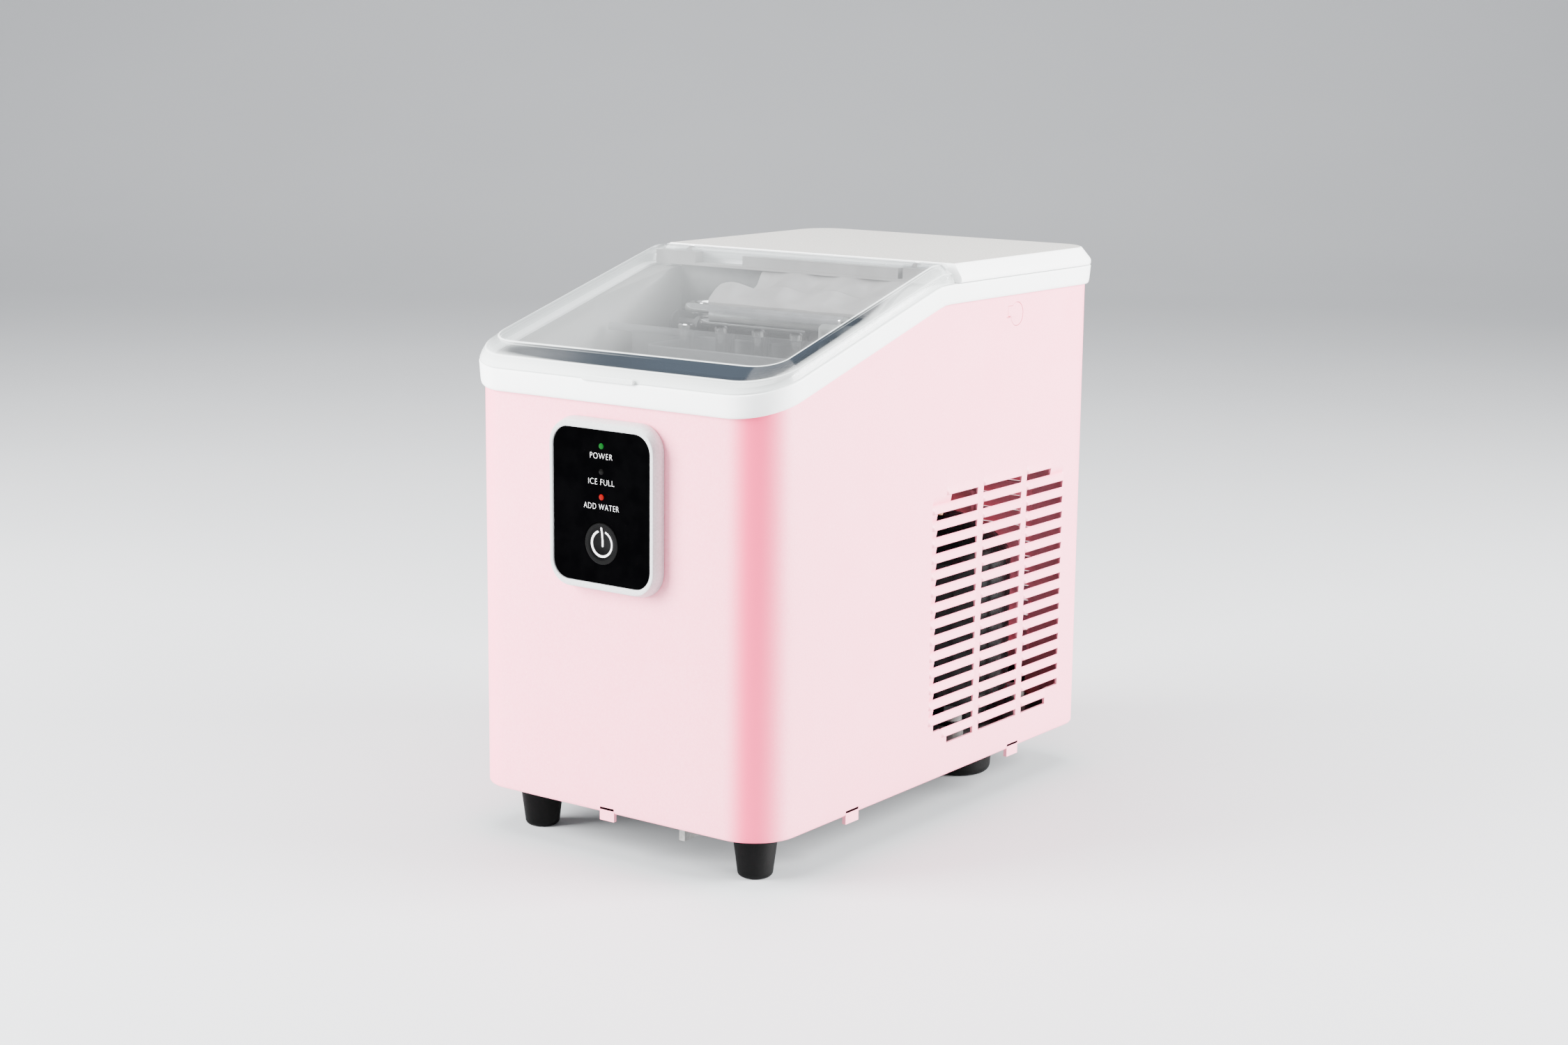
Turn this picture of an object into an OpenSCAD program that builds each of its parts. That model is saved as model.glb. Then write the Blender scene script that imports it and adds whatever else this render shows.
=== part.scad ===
/* [Body] */
// Width of the pink body
body_w = 220; // [218:0.5:222]
// Depth of the pink body, front face to rear face
body_d = 357; // [356:0.5:358]
// Radius of the two front vertical corners
front_r = 28; // [24:1:30]
// Radius of the two rear vertical corners
rear_r = 24; // [20:1:26]
// Wall of the body shell
wall = 2.4; // [2:0.1:2.6]
// Height of the body's lower edge above the ground
base_z = 28.8; // [27:0.2:31]
// Height of the body under the rear part of the rim
rear_z = 317.8; // [317:0.2:319]

/* [Rim and lid] */
// How far the rim stands out from the body
rim_out = 3.4; // [2:0.2:4]
// Height of the rim band
rim_h = 12; // [11.5:0.5:12.5]
// Slope of the front part of the top
slope = 15.9; // [15.6:0.1:16.2]
// Height of the sloping rim's lower edge, carried back to the middle of the body
rim_low = 319.6; // [319:0.1:320]
// Height of the line between rim and lid, carried back to the middle of the body
lid_low = 333.4; // [333:0.1:334]
// Height of the lid's top, carried back to the middle of the body
lid_top = 343.4; // [343:0.1:344]
// Height of the whole machine
total_h = 341.1; // [341:0.1:341.4]
// Wall of the clear lid
lid_t = 2.2; // [2:0.1:2.4]

/* [Side vents] */
// Number of rows
vent_rows = 16; // [10:1:16]
// Distance between rows
vent_pitch = 10; // [9.5:0.1:10]
// Height of one slot
slot_h = 3.8; // [3:0.1:4.2]
// Top of the highest slot
vent_top = 203.4; // [200:0.2:204]

/* [Control panel] */
// Width of the bezel
bezel_w = 79; // [76:1:82]
// Height of the bezel
bezel_h = 99; // [97:1:101]
// How far the bezel stands out from the body
bezel_out = 8.8; // [8:0.2:9]
// Height of the bezel's middle
panel_z = 210.5; // [209:0.5:212]
// Diameter of the power button
button_d = 24.2; // [23:0.2:25]

/* [Ice works] */
// Diameter of a freezing finger
finger_d = 8.6; // [7:0.1:9]
// Distance between fingers in a row
finger_pitch = 30; // [29:0.5:30]
// Height of the evaporator tube's axis
evap_z = 302; // [301.5:0.1:302.5]

/* [Hidden] */

$fn = 64;
eps = 0.01;                              // overrun of a cut past a face
gap = 0.3;                               // air between two bodies that move apart
half_w = body_w / 2;
half_d = body_d / 2;
seam_z = rear_z + rim_h;                 // joint between rim and rear cover

// Hinge of the lid: the rear edge of the lid is a barrel about this axis
hinge_y = 4;
barrel_r = 3.7;
hinge_z = total_h - barrel_r;
pin_r = 1.55;
pin_play = 0.05;
ear_x = 83;                              // inner face of each hinge ear
ear_t = 3;
cover_y = hinge_y + barrel_r + 0.4;      // front edge of the rear cover

// Cold compartment: a deep front bin and a shallow pocket behind it for the tipped tray
bin_x = 88;
bin_front = -160;
bin_rear = -14;
bin_floor = 62;
pocket_rear = 54;
pocket_floor = 212;
liner_t = 2;
opening_x = 98;                          // half width of the opening in the rim
opening_front = -168;
opening_rear = 1;
rail_rear = hinge_y - barrel_r - 0.9;    // rear face of the hinge rail's blocks
ledge_z = 83.7;                          // ledges under the basket
crossbar_rear = 14;

// Freezing fingers and the tray that tips away from them
row_y = [-44, -20];                      // front row, rear row
finger_top = evap_z - 4;
finger_tip = 254;
tube_r = 5;
tray_y = -6;
tray_z = 292;
tray_x = 68.5;
tray_front = -66;
tray_back = -8;
tray_bottom = 244;
tray_rim = 286;
shaft_r = 4;
shovel_y = -70;
shovel_z = 296;
shovel_r = 2.4;
tail_x = [66, 54];                       // tails of the front and the rear tube run

// Basket
basket_x = 82;
basket_front = -156;
basket_rear = -82;
basket_z = 84;
basket_top = 196;
scoop_z = basket_z + 2.3;

// Air path
fan_y = 74;
fan_z = 124;
comp_x = 46;
comp_y = 92;

window_w = 70.8;
window_h = 88.2;
button_z = 189.5;
button_play = 0.2;
led_z = [245.4, 230.8, 216.3];
face_y = -half_d;
panel_y = face_y - bezel_out;            // foremost face of the bezel
window_y = panel_y + 0.8;

drain_x = 36;
drain_y = -150;
pump_x = 63;
hose_x = 78;
hose_z = 304;
pump_z = 82;

pink = "#F8DCE1";
white = "#F4F5F4";
grey = "#D6D7D6";
black = "#1B1C1A";
copper = "#B87348";
steel = "#B9BDC0";

// ---------------------------------------------------------------- helpers

// Plan outline with its own front and rear corner radii
module plan(w, d, rf, rr) {
    translate([-w / 2, -d / 2 + rf]) square([w, d - rf - rr]);
    translate([-w / 2 + rf, -d / 2]) square([w - 2 * rf, d / 2]);
    translate([-w / 2 + rr, 0]) square([w - 2 * rr, d / 2]);
    for (s = [-1, 1]) {
        translate([s * (w / 2 - rf), -d / 2 + rf]) circle(r = rf);
        translate([s * (w / 2 - rr), d / 2 - rr]) circle(r = rr);
    }
}

// Plan of the body, grown outwards by g
module body_plan(g) plan(body_w + 2 * g, body_d + 2 * g, front_r + g, rear_r + g);

// Everything above the sloping plane that stands at height z over the middle of the body
module above(z) translate([0, 0, z]) rotate([slope, 0, 0]) translate([-200, -400, 0]) cube([400, 800, 300]);

// Everything below the same plane
module below(z) translate([0, 0, z]) rotate([slope, 0, 0]) translate([-200, -400, -400]) cube([400, 800, 400]);

// A box from its low corner to its high corner
module block(lo, hi) translate(lo) cube(hi - lo);

// A round bar from point p to point q
module rod(p, q, r) {
    v = q - p;
    n = norm(v);
    translate(p) rotate([0, acos(v[2] / n), atan2(v[1], v[0])]) cylinder(h = n, r = r);
}

// A pipe through a list of points, with a ball in every bend
module pipe(points, r) {
    for (i = [0 : len(points) - 2]) rod(points[i], points[i + 1], r);
    for (i = [1 : len(points) - 2]) translate(points[i]) sphere(r = r);
}

// Rectangle with round corners, centred, standing in the XZ plane, from y0 back to y1
module tablet(w, h, r, y0, y1, z) {
    translate([0, y1, z]) rotate([90, 0, 0]) linear_extrude(y1 - y0) {
        square([w - 2 * r, h], center = true);
        square([w, h - 2 * r], center = true);
        for (sx = [-1, 1], sz = [-1, 1]) translate([sx * (w / 2 - r), sz * (h / 2 - r)]) circle(r = r);
    }
}

// Round bar along X between x0 and x1
module bar_x(x0, x1, y, z, r) translate([x0, y, z]) rotate([0, 90, 0]) cylinder(h = x1 - x0, r = r);

// Round bar along Y between y0 and y1
module bar_y(y0, y1, x, z, r) translate([x, y1, z]) rotate([90, 0, 0]) cylinder(h = y1 - y0, r = r);

// ---------------------------------------------------------------- casing

// Slots of one side's vent: three columns, with short outer ends in the first and last rows
module vent_slots(x0, x1) {
    columns = [[-7.3, 38], [44.4, 89.5], [95.7, 140.8]];
    for (row = [0 : vent_rows - 1], c = [0 : 2]) {
        short = row == 0 || row == vent_rows - 1;
        y0 = short && c == 0 ? columns[c][0] + 15.3 : columns[c][0];
        y1 = short && c == 2 ? columns[c][1] - 15.3 : columns[c][1];
        top = vent_top - row * vent_pitch;
        block([x0, y0, top - slot_h], [x1, y1, top]);
    }
}

// Keyed hole for the side plug
module plug_shape(x0, x1, g) {
    bar_x(x0, x1, 78, 305.7, 7.2 + g);
    block([x0, 67.6 - g, 304.6 - g], [x1, 78, 311 + g]);
}

module body_shell() color(pink) {
    difference() {
        translate([0, 0, base_z]) linear_extrude(rear_z - base_z) body_plan(0);
        translate([0, 0, base_z - 1]) linear_extrude(rear_z) body_plan(-wall);
        above(rim_low);
        block([-84, half_d - 10, base_z - 1], [84, half_d + 1, 400]);
        vent_slots(half_w - 5, half_w + 1);
        vent_slots(-half_w - 1, -half_w + 5);
        for (s = [-1, 1]) plug_shape(s * half_w - 5, s * half_w + 5, 0.2);
        block([-27, face_y - 1, panel_z - 36], [27, face_y + 5, panel_z + 40]);
    }
    // Latch tabs that hang under the lower edge
    for (s = [-1, 1], y = [-99, 80]) {
        x = s * (half_w - wall / 2);
        block([x - wall / 2, y, base_z - 5], [x + wall / 2, y + 13, base_z]);
    }
    block([-8.5, face_y, base_z - 4.8], [2, face_y + wall, base_z]);
}

module rear_panel() color(pink) difference() {
    block([-84, half_d - wall, base_z], [84, half_d, rear_z]);
    for (row = [0 : 11], c = [-1, 0, 1]) {
        block([c * 46 - 20, half_d - 5, 178 - row * 10], [c * 46 + 20, half_d + 1, 178 - row * 10 + slot_h]);
    }
    bar_y(half_d - 5, half_d + 1, 58, 50, 7);
    for (x = [-76, 76], z = [40, 300]) bar_y(half_d - 5, half_d + 1, x, z, 1.7);
}

module rear_panel_screws() color(steel) for (x = [-76, 76], z = [40, 300]) {
    difference() {
        union() {
            bar_y(half_d - 6, half_d, x, z, 1.7);
            bar_y(half_d, half_d + 1.8, x, z, 3.4);
        }
        block([x - 2.2, half_d + 1, z - 0.4], [x + 2.2, half_d + 3, z + 0.4]);
        block([x - 0.4, half_d + 1, z - 2.2], [x + 0.4, half_d + 3, z + 2.2]);
    }
}

// Bottom tray of the machine, with a rim that stands inside the shell
module base_pan() color(grey) difference() {
    translate([0, 0, base_z]) linear_extrude(9) body_plan(-wall);
    translate([0, 0, base_z + 2.4]) linear_extrude(9) body_plan(-wall - 2);
    translate([drain_x, drain_y, base_z - 1]) cylinder(h = 10, r = 11);
    for (x = [-95 : 19 : 95]) block([x - 2, 0, base_z - 1], [x + 2, 60, base_z + 4]);
    for (x = [-80.5, 80.5]) translate([x, -146.7, base_z - 1]) cylinder(h = 5, r = 2);
    for (x = [-57, 57]) translate([x, 108, base_z - 1]) cylinder(h = 5, r = 2);
    for (sx = [-1, 1], sy = [-1, 1]) {
        translate([comp_x + sx * 38, comp_y + sy * 38, base_z - 1]) cylinder(h = 10, r = 2.5);
    }
}

// Screws that hold the four feet
module base_screws() color(steel) {
    for (x = [-80.5, 80.5]) translate([x, -146.7, 0]) foot_screw();
    for (x = [-57, 57]) translate([x, 108, 0]) foot_screw();
}

module foot_screw() {
    translate([0, 0, 8]) cylinder(h = base_z + 6 - 8, r = 2);
    translate([0, 0, 5.5]) cylinder(h = 2.5, r = 4);
}

// Rubber foot: bottom radius, top radius, height of the round at the bottom edge
module foot(r0, r1, round) color(black) rotate_extrude() difference() {
    union() {
        polygon([[0, 0], [r0 - round, 0], [r0, round], [r1, base_z], [0, base_z]]);
        translate([r0 - round, round]) circle(r = round);
    }
    translate([-50, -50]) square([50, 200]);
    square([2, base_z]);
    square([4.4, 8]);
}

module foot_front_left() translate([-80.5, -146.7, 0]) foot(10.4, 13.5, 3);
module foot_front_right() translate([80.5, -146.7, 0]) foot(10.4, 13.5, 3);
module foot_rear_left() translate([-57, 108, 0]) foot(20.5, 22, 5);
module foot_rear_right() translate([57, 108, 0]) foot(20.5, 22, 5);

module side_plug_left() color(pink) plug_shape(-half_w, -half_w + wall, 0);
module side_plug_right() color(pink) plug_shape(half_w - wall, half_w, 0);

// Bush where the mains lead leaves the rear panel
module cord_bush() color(black) {
    bar_y(half_d - wall, half_d, 58, 50, 7);
    bar_y(half_d, half_d + 2.5, 58, 50, 10);
    bar_y(half_d + 2.5, half_d + bezel_out, 58, 50, 6.5);
}

// ---------------------------------------------------------------- rim, cover and lid

module top_frame() color(white) difference() {
    translate([0, 0, 250]) linear_extrude(seam_z - 250) body_plan(rim_out);
    above(lid_low);
    intersection() {
        below(rim_low);
        translate([0, 0, 200]) linear_extrude(rear_z - 200) body_plan(10);
    }
    // Opening over the ice bin, and over the works at the rear
    block([-opening_x, opening_front, 200], [opening_x, opening_rear, 400]);
    translate([0, 0, 200]) linear_extrude(200) intersection() {
        body_plan(-5);
        translate([-200, crossbar_rear]) square([400, 400]);
    }
}

// Rear cover: flat top with sloping edges, closed in front under the lid's barrel
module rear_cover() color(grey) difference() {
    translate([0, 0, seam_z]) linear_extrude(total_h - seam_z) intersection() {
        body_plan(rim_out);
        translate([-200, hinge_y + 0.4]) square([400, 400]);
    }
    translate([0, 0, seam_z - 1]) linear_extrude(total_h - seam_z - 1.4) intersection() {
        body_plan(-1);
        translate([-200, cover_y + 3]) square([400, 400]);
    }
    // Room for the barrel
    block([-200, hinge_y - 5, hinge_z - barrel_r - 0.6], [200, cover_y, total_h + 1]);
    for (s = [-1, 1]) block([s * ear_x - 6, 0, seam_z - 1], [s * ear_x + 6, cover_y, total_h]);
    // Front edge leaning back, so that the lid can lean back when it is open
    translate([0, cover_y, hinge_z - 1]) rotate([-25, 0, 0]) translate([-200, -10, 0]) cube([400, 10, 20]);
    // Sloping side and rear edges
    for (s = [-1, 1]) translate([s * 107, 0, total_h]) rotate([0, s * 50, 0])
        translate([-20, -10, 0]) cube([40, 300, 20]);
    translate([0, half_d - 3, total_h]) rotate([-50, 0, 0]) translate([-200, -20, 0]) cube([400, 40, 20]);
}

// Rail under the rear edge of the lid, with a block at each end and an ear for each hinge pin
module hinge_rail() color(white) {
    block([-103, -9, seam_z], [103, 2, seam_z + 1.6]);
    block([-103, -9, seam_z], [-72, rail_rear, 338]);
    block([-36, -8, seam_z], [79, -1.8, 337.6]);
    block([83, -9, seam_z], [103, rail_rear, 338]);
    for (s = [-1, 1]) hinge_ear(s * (ear_x + ear_t / 2));
}

module hinge_ear(x) difference() {
    union() {
        block([x - ear_t / 2, 2, seam_z], [x + ear_t / 2, hinge_y + 2.9, hinge_z]);
        bar_x(x - ear_t / 2, x + ear_t / 2, hinge_y, hinge_z, 2.9);
    }
    bar_x(x - 5, x + 5, hinge_y, hinge_z, pin_r);
}

module hinge_pins() color(steel) for (s = [-1, 1]) {
    x = s * (ear_x + ear_t / 2);
    bar_x(x - 9, x + 9, hinge_y, hinge_z, pin_r);
}

// Outer or inner body of the lid, inset by t on every side
module lid_block(t) difference() {
    translate([0, 0, 240]) linear_extrude(total_h - t - 240) intersection() {
        body_plan(1.6 - t);
        translate([-200, -400]) square([400, 400 + hinge_y]);
    }
    above(lid_top - t / cos(slope));
}

module lid() color([0.9, 0.93, 0.95, 0.35]) difference() {
    union() {
        difference() {
            lid_block(0);
            lid_block(lid_t);
        }
        bar_x(-105, 105, hinge_y, hinge_z, barrel_r);
    }
    // Lower edge parallel to the rim, with air under it
    intersection() {
        below(lid_low + gap / cos(slope));
        translate([-200, -400, 0]) cube([400, 800, seam_z + gap]);
    }
    // Room for the ears and running holes for the pins
    for (s = [-1, 1]) {
        x = s * (ear_x + ear_t / 2);
        block([x - ear_t / 2 - gap, hinge_y - 4.6, 320], [x + ear_t / 2 + gap, hinge_y + 10, 360]);
        bar_x(x - 10, x + 10, hinge_y, hinge_z, pin_r + pin_play);
    }
}

// ---------------------------------------------------------------- control panel

module control_bezel() color(grey) difference() {
    tablet(bezel_w, bezel_h, 16, panel_y, face_y, panel_z);
    tablet(window_w, window_h, 11, panel_y - 1, face_y + 1, panel_z);
}

module control_window() color(black) difference() {
    tablet(window_w, window_h, 11, window_y, face_y, panel_z);
    tablet(window_w - 6, window_h - 6, 8, window_y + 2, face_y + 1, panel_z);
    bar_y(window_y - 1, face_y + 1, 0, button_z, button_d / 2 + button_play);
    for (z = led_z) bar_y(window_y - 1, face_y + 1, 0, z, 1.6);
}

module led(z) {
    bar_y(window_y + 0.1, window_y + 6, 0, z, 1.6);
    bar_y(window_y + 6, face_y + 8, 0, z, 2.2);
}

module power_led() color("#27B24A") led(led_z[0]);
module ice_full_led() color("#2A2B22") led(led_z[1]);
module add_water_led() color("#E0322B") led(led_z[2]);

module power_button() color(black) difference() {
    union() {
        bar_y(window_y - 0.2, face_y + 1.5, 0, button_z, button_d / 2);
        bar_y(face_y + 1.5, face_y + 5, 0, button_z, 3);
    }
    // Shallow dish for the fingertip
    translate([0, window_y - 0.2 - 37.8, button_z]) sphere(r = 39, $fn = 128);
}

module control_board() color("#2E6B3E") {
    block([-24, face_y + 8, panel_z - 34], [24, face_y + 9.6, panel_z + 38]);
    // Push switch behind the button
    block([-3.5, face_y + 6.2, button_z - 3.5], [3.5, face_y + 8, button_z + 3.5]);
}

module main_board() color("#2E6B3E") {
    block([-98, 100, 222], [-96.4, 168, 306]);
    block([-96.4, 108, 232], [-78, 134, 262]);
    block([-96.4, 140, 232], [-82, 160, 250]);
    for (z = [270, 286]) bar_x(-96.4, -84, 120, z, 6);
}

// ---------------------------------------------------------------- cold compartment

// Outline of the bin seen from the side, grown by g and open at the top
module bin_side(g) translate([-bin_x - g, 0, 0]) rotate([90, 0, 90]) linear_extrude(2 * bin_x + 2 * g) {
    translate([bin_front - g, bin_floor - g]) square([bin_rear - bin_front + 2 * g, 300]);
    translate([bin_front - g, pocket_floor - g]) square([pocket_rear - bin_front + 2 * g, 300]);
}

module bin_liner() color(grey) {
    bin_ledges();
    bin_shell();
}

module bin_shell() difference() {
    union() {
        intersection() {
            bin_side(liner_t);
            block([-200, -200, 0], [200, pocket_rear + 10, rear_z - 0.5]);
            below(rim_low + 2);
        }
        // Flange that carries the liner in the opening of the rim
        intersection() {
            block([-opening_x, opening_front, 0], [opening_x, -3, 400]);
            above(rim_low + 1);
            below(rim_low + 3);
        }
    }
    intersection() {
        bin_side(0);
        union() {
            block([-200, -200, 0], [200, bin_rear, 400]);
            block([-200, -200, pocket_floor], [200, 200, 400]);
        }
    }
    translate([drain_x, drain_y, 50]) cylinder(h = 20, r = 6);
    for (s = [-1, 1]) bar_x(s * bin_x - 5, s * bin_x + 5, tray_y, tray_z, 7);
    bar_y(-20, -10, pump_x, pump_z, 5);
    translate([hose_x, 20, pocket_floor - 5]) cylinder(h = 10, r = 3.4);
    for (x = tail_x) bar_y(50, 60, x, evap_z, 3.2);
    for (s = [-1, 1]) bar_x(s * bin_x - 5, s * bin_x + 5, -90, 214, 4);
    for (s = [-1, 1]) bar_x(s * bin_x - 5, s * bin_x + 5, shovel_y, shovel_z, shovel_r + pin_play);
}

// Ledges moulded on the bin's floor, under the basket
module bin_ledges() for (s = [-1, 1]) {
    block([s * 84 - 4, basket_front + 4, bin_floor], [s * 84 + 4, basket_rear - 4, ledge_z]);
}

// Foam between the bin and the sides of the body
module side_insulation() color("#EDEDE6") for (s = [-1, 1]) {
    x = s * 98.4;
    block([x - 8, -150, bin_floor], [x + 8, -30, 200]);
}

module drain_spout() color(grey) difference() {
    union() {
        translate([drain_x, drain_y, base_z - 3]) cylinder(h = bin_floor - base_z + 3, r = 6);
        translate([drain_x, drain_y, base_z + 2.4]) cylinder(h = 2, r = 13);
        translate([drain_x, drain_y, base_z - 3]) cylinder(h = 5.4, r = 10.5);
    }
    translate([drain_x, drain_y, 0]) cylinder(h = 100, r = 4.2);
}

module drain_plug() color("#8E8F8C") {
    translate([drain_x, drain_y, base_z - 3.2]) cylinder(h = 10, r = 4.1);
    translate([drain_x, drain_y, base_z - 6.2]) cylinder(h = 3, r = 10.5);
    block([drain_x - 2, drain_y - 8, base_z - 14.2], [drain_x + 2, drain_y + 8, base_z - 6.2]);
}

// Sloping grid that leads the ice from the fingers to the basket
module ice_chute() color(grey) difference() {
    chute_plate(-bin_x, bin_x);
    for (i = [-5 : 5]) intersection() {
        block([i * 15 - 3, -74, 180], [i * 15 + 3, -20, 230]);
        chute_plate(-bin_x - 1, bin_x + 1);
    }
}

// Side outline of the chute drawn once and pushed across the bin
module chute_plate(x0, x1) translate([x0, 0, 0]) rotate([90, 0, 90]) linear_extrude(x1 - x0)
    polygon([[bin_rear, 211], [-79, 196], [-79, 194], [bin_rear, 208]]);

module ice_basket() color(grey) difference() {
    block([-basket_x, basket_front, basket_z], [basket_x, basket_rear, basket_top]);
    block([-basket_x + 2, basket_front + 2, basket_z + 2], [basket_x - 2, basket_rear - 2, basket_top + 1]);
    // Slots in the floor let the melt water run back
    for (x = [-60 : 24 : 60]) {
        block([x - 3, basket_front + 10, basket_z - 1], [x + 3, basket_rear - 10, basket_z + 3]);
    }
}

// Scoop that lies in the basket: a half bowl and a handle
module ice_scoop() color([0.85, 0.88, 0.9, 0.6]) {
    difference() {
        block([-70, -146, scoop_z], [-8, -98, scoop_z + 26]);
        block([-68, -144, scoop_z + 2], [-10, -100, scoop_z + 27]);
    }
    block([-8, -127, scoop_z + 14], [58, -117, scoop_z + 18]);
}

// Pair of light sensors that see when the basket is full
module ice_sensors() color(black) for (s = [-1, 1]) {
    bar_x(min(s * (bin_x - 1.5), s * (bin_x + 10)), max(s * (bin_x - 1.5), s * (bin_x + 10)), -90, 214, 4);
}

// ---------------------------------------------------------------- ice works

function row_x(row) = row == 0 ? [for (i = [-2 : 2]) i * finger_pitch] : [for (i = [-1.5 : 1.5]) i * finger_pitch];

module evaporator() color(steel) {
    for (row = [0, 1], x = row_x(row)) {
        translate([x, row_y[row], finger_tip + 4]) cylinder(h = finger_top - finger_tip - 4, r = finger_d / 2);
        translate([x, row_y[row], finger_tip + finger_d / 2]) sphere(r = finger_d / 2);
    }
    for (row = [0, 1]) bar_x(-60, tail_x[row], row_y[row], evap_z, tube_r);
    // Return bend at the left, and the two tails that leave through the rear wall
    translate([-60, (row_y[0] + row_y[1]) / 2, evap_z]) rotate([0, 0, 90]) rotate_extrude(angle = 180)
        translate([12, 0]) circle(r = tube_r);
    for (row = [0, 1]) bar_y(row_y[row], 66, tail_x[row], evap_z, 3.2);
}

// Wall and hood above the evaporator: a recess at the left, a step, and a broad hood at the right
module evaporator_cover() color(grey) difference() {
    union() {
        block([-bin_x, -1, 309], [bin_x, 1, seam_z]);
        block([-38, -14, 309], [bin_x, -1, 328]);
        block([-62, -14, 309], [-38, -1, 315]);
    }
    block([-36, -12, 300], [bin_x + 1, -2.9, 326]);
    block([-60, -12, 300], [-36 - eps, -2.9, 313]);
}

// Trough that holds the water round the fingers, with a pivot at each end
module water_tray() color(grey) {
    difference() {
        block([-tray_x, tray_front, tray_bottom], [tray_x, tray_back, tray_rim]);
        block([-tray_x + 2, tray_front + 2, tray_bottom + 2], [tray_x - 2, tray_back - 2, tray_rim + 1]);
    }
    for (s = [-1, 1]) {
        x0 = s > 0 ? tray_x : -tray_x - 3;
        block([x0, -22, 272], [x0 + 3, tray_y + 6, tray_z]);
        bar_x(x0, x0 + 3, tray_y, tray_z, 6);
        bar_x(s > 0 ? tray_x + 3 : -bin_x - 4, s > 0 ? bin_x + 12 : -tray_x - 3, tray_y, tray_z, shaft_r);
    }
}

module tray_bushes() color("#EFEFEA") for (s = [-1, 1]) difference() {
    union() {
        bar_x(s > 0 ? bin_x : -bin_x - liner_t, s > 0 ? bin_x + liner_t : -bin_x, tray_y, tray_z, 7);
        bar_x(s > 0 ? bin_x - 2 : -bin_x, s > 0 ? bin_x : -bin_x + 2, tray_y, tray_z, 9);
    }
    bar_x(s * bin_x - 10, s * bin_x + 10, tray_y, tray_z, shaft_r + pin_play);
}

// Slow geared motor that tips the tray
module tray_motor() color(steel) difference() {
    union() {
        bar_x(bin_x + liner_t + 0.5, 106.5, tray_y, tray_z, 24);
        block([bin_x + liner_t + 0.5, -4, 262], [106.5, 22, 272]);
    }
    bar_x(bin_x, bin_x + 13, tray_y, tray_z, shaft_r + pin_play);
}

// Hanging comb that sweeps the ice forward as the tray comes back
module ice_shovel() color(grey) {
    bar_x(-bin_x - liner_t, bin_x + liner_t, shovel_y, shovel_z, shovel_r);
    difference() {
        block([-72, shovel_y - 1.2, 252], [72, shovel_y + 1.2, shovel_z]);
        for (x = [-60 : 15 : 60]) block([x - 3, shovel_y - 5, 240], [x + 3, shovel_y + 5, 276]);
    }
}

// ---------------------------------------------------------------- water pump

module pump_body() color("#2C2F33") difference() {
    union() {
        bar_y(-12, 6, pump_x, pump_z, 21);
        bar_y(6, 34, pump_x, pump_z, 16);
        bar_y(-16, -12, pump_x, pump_z, 5);
        translate([pump_x + 15, -3, pump_z]) cylinder(h = 26, r = 4.5);
    }
    bar_y(-9, 3, pump_x, pump_z, 17);
    bar_y(-20, -8, pump_x, pump_z, 3.5);
    bar_y(2, 20, pump_x, pump_z, 1.5 + pin_play);
    translate([pump_x + 15, -3, pump_z]) cylinder(h = 30, r = 3);
}

module pump_impeller() color("#D9A21B") {
    bar_y(-2, 0.5, pump_x, pump_z, 14);
    bar_y(-7, -2, pump_x, pump_z, 4);
    bar_y(0.5, 18, pump_x, pump_z, 1.5);
    for (a = [0 : 60 : 300]) translate([pump_x, 0, pump_z]) rotate([0, a, 0]) block([3, -7, -0.8], [13.5, -2, 0.8]);
}

// Hose from the pump up to the tray's filling spout
module pump_hose() color("#DDE4E2") pipe([
    [hose_x, -3, pump_z + 26], [hose_x, -3, 196], [hose_x, 20, 196], [hose_x, 20, hose_z],
    [hose_x, -56, hose_z], [60, -56, hose_z], [60, -56, 291]], 3.4);

// ---------------------------------------------------------------- refrigeration

module compressor() color(black) {
    translate([comp_x, comp_y, 62]) cylinder(h = 86, r = 48);
    translate([comp_x, comp_y, 148]) dome(48, 26);
    translate([comp_x, comp_y, 50]) cylinder(h = 12, r = 40);
    difference() {
        block([comp_x - 46, comp_y - 46, 47], [comp_x + 46, comp_y + 46, 50]);
        for (sx = [-1, 1], sy = [-1, 1]) {
            translate([comp_x + sx * 38, comp_y + sy * 38, 40]) cylinder(h = 20, r = 4);
        }
    }
}

// Low dome: a slice of a ball that stands h high over a circle of radius r
module dome(r, h) {
    ball = (r * r + h * h) / (2 * h);
    intersection() {
        translate([0, 0, h - ball]) sphere(r = ball, $fn = 96);
        cylinder(h = h + 1, r = r);
    }
}

module compressor_feet() color("#33332F") for (sx = [-1, 1], sy = [-1, 1]) {
    translate([comp_x + sx * 38, comp_y + sy * 38, 0]) difference() {
        union() {
            translate([0, 0, base_z + 2.4]) cylinder(h = 47 - base_z - 2.4, r = 8);
            translate([0, 0, 47]) cylinder(h = 3, r = 4);
            translate([0, 0, 50]) cylinder(h = 3, r = 7);
        }
        translate([0, 0, 20]) cylinder(h = 60, r = 2.5);
    }
}

module compressor_bolts() color(steel) for (sx = [-1, 1], sy = [-1, 1]) {
    translate([comp_x + sx * 38, comp_y + sy * 38, 0]) {
        translate([0, 0, base_z]) cylinder(h = 53 - base_z, r = 2.5);
        translate([0, 0, 53]) cylinder(h = 4, r = 5, $fn = 6);
    }
}

// Finned coil: a tube that runs to and fro through thin upright fins
module condenser() color("#9A9DA0") {
    for (y = [6 : 5 : 141]) block([-102, y, 50], [-66, y + 1.2, 198]);
    for (z = [60 : 16 : 188], x = [-93, -75]) bar_y(2, 146, x, z, 3.5);
    block([-102, 1, 48], [-66, 2, 200]);
    block([-102, 146, 48], [-66, 147, 200]);
}

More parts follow.
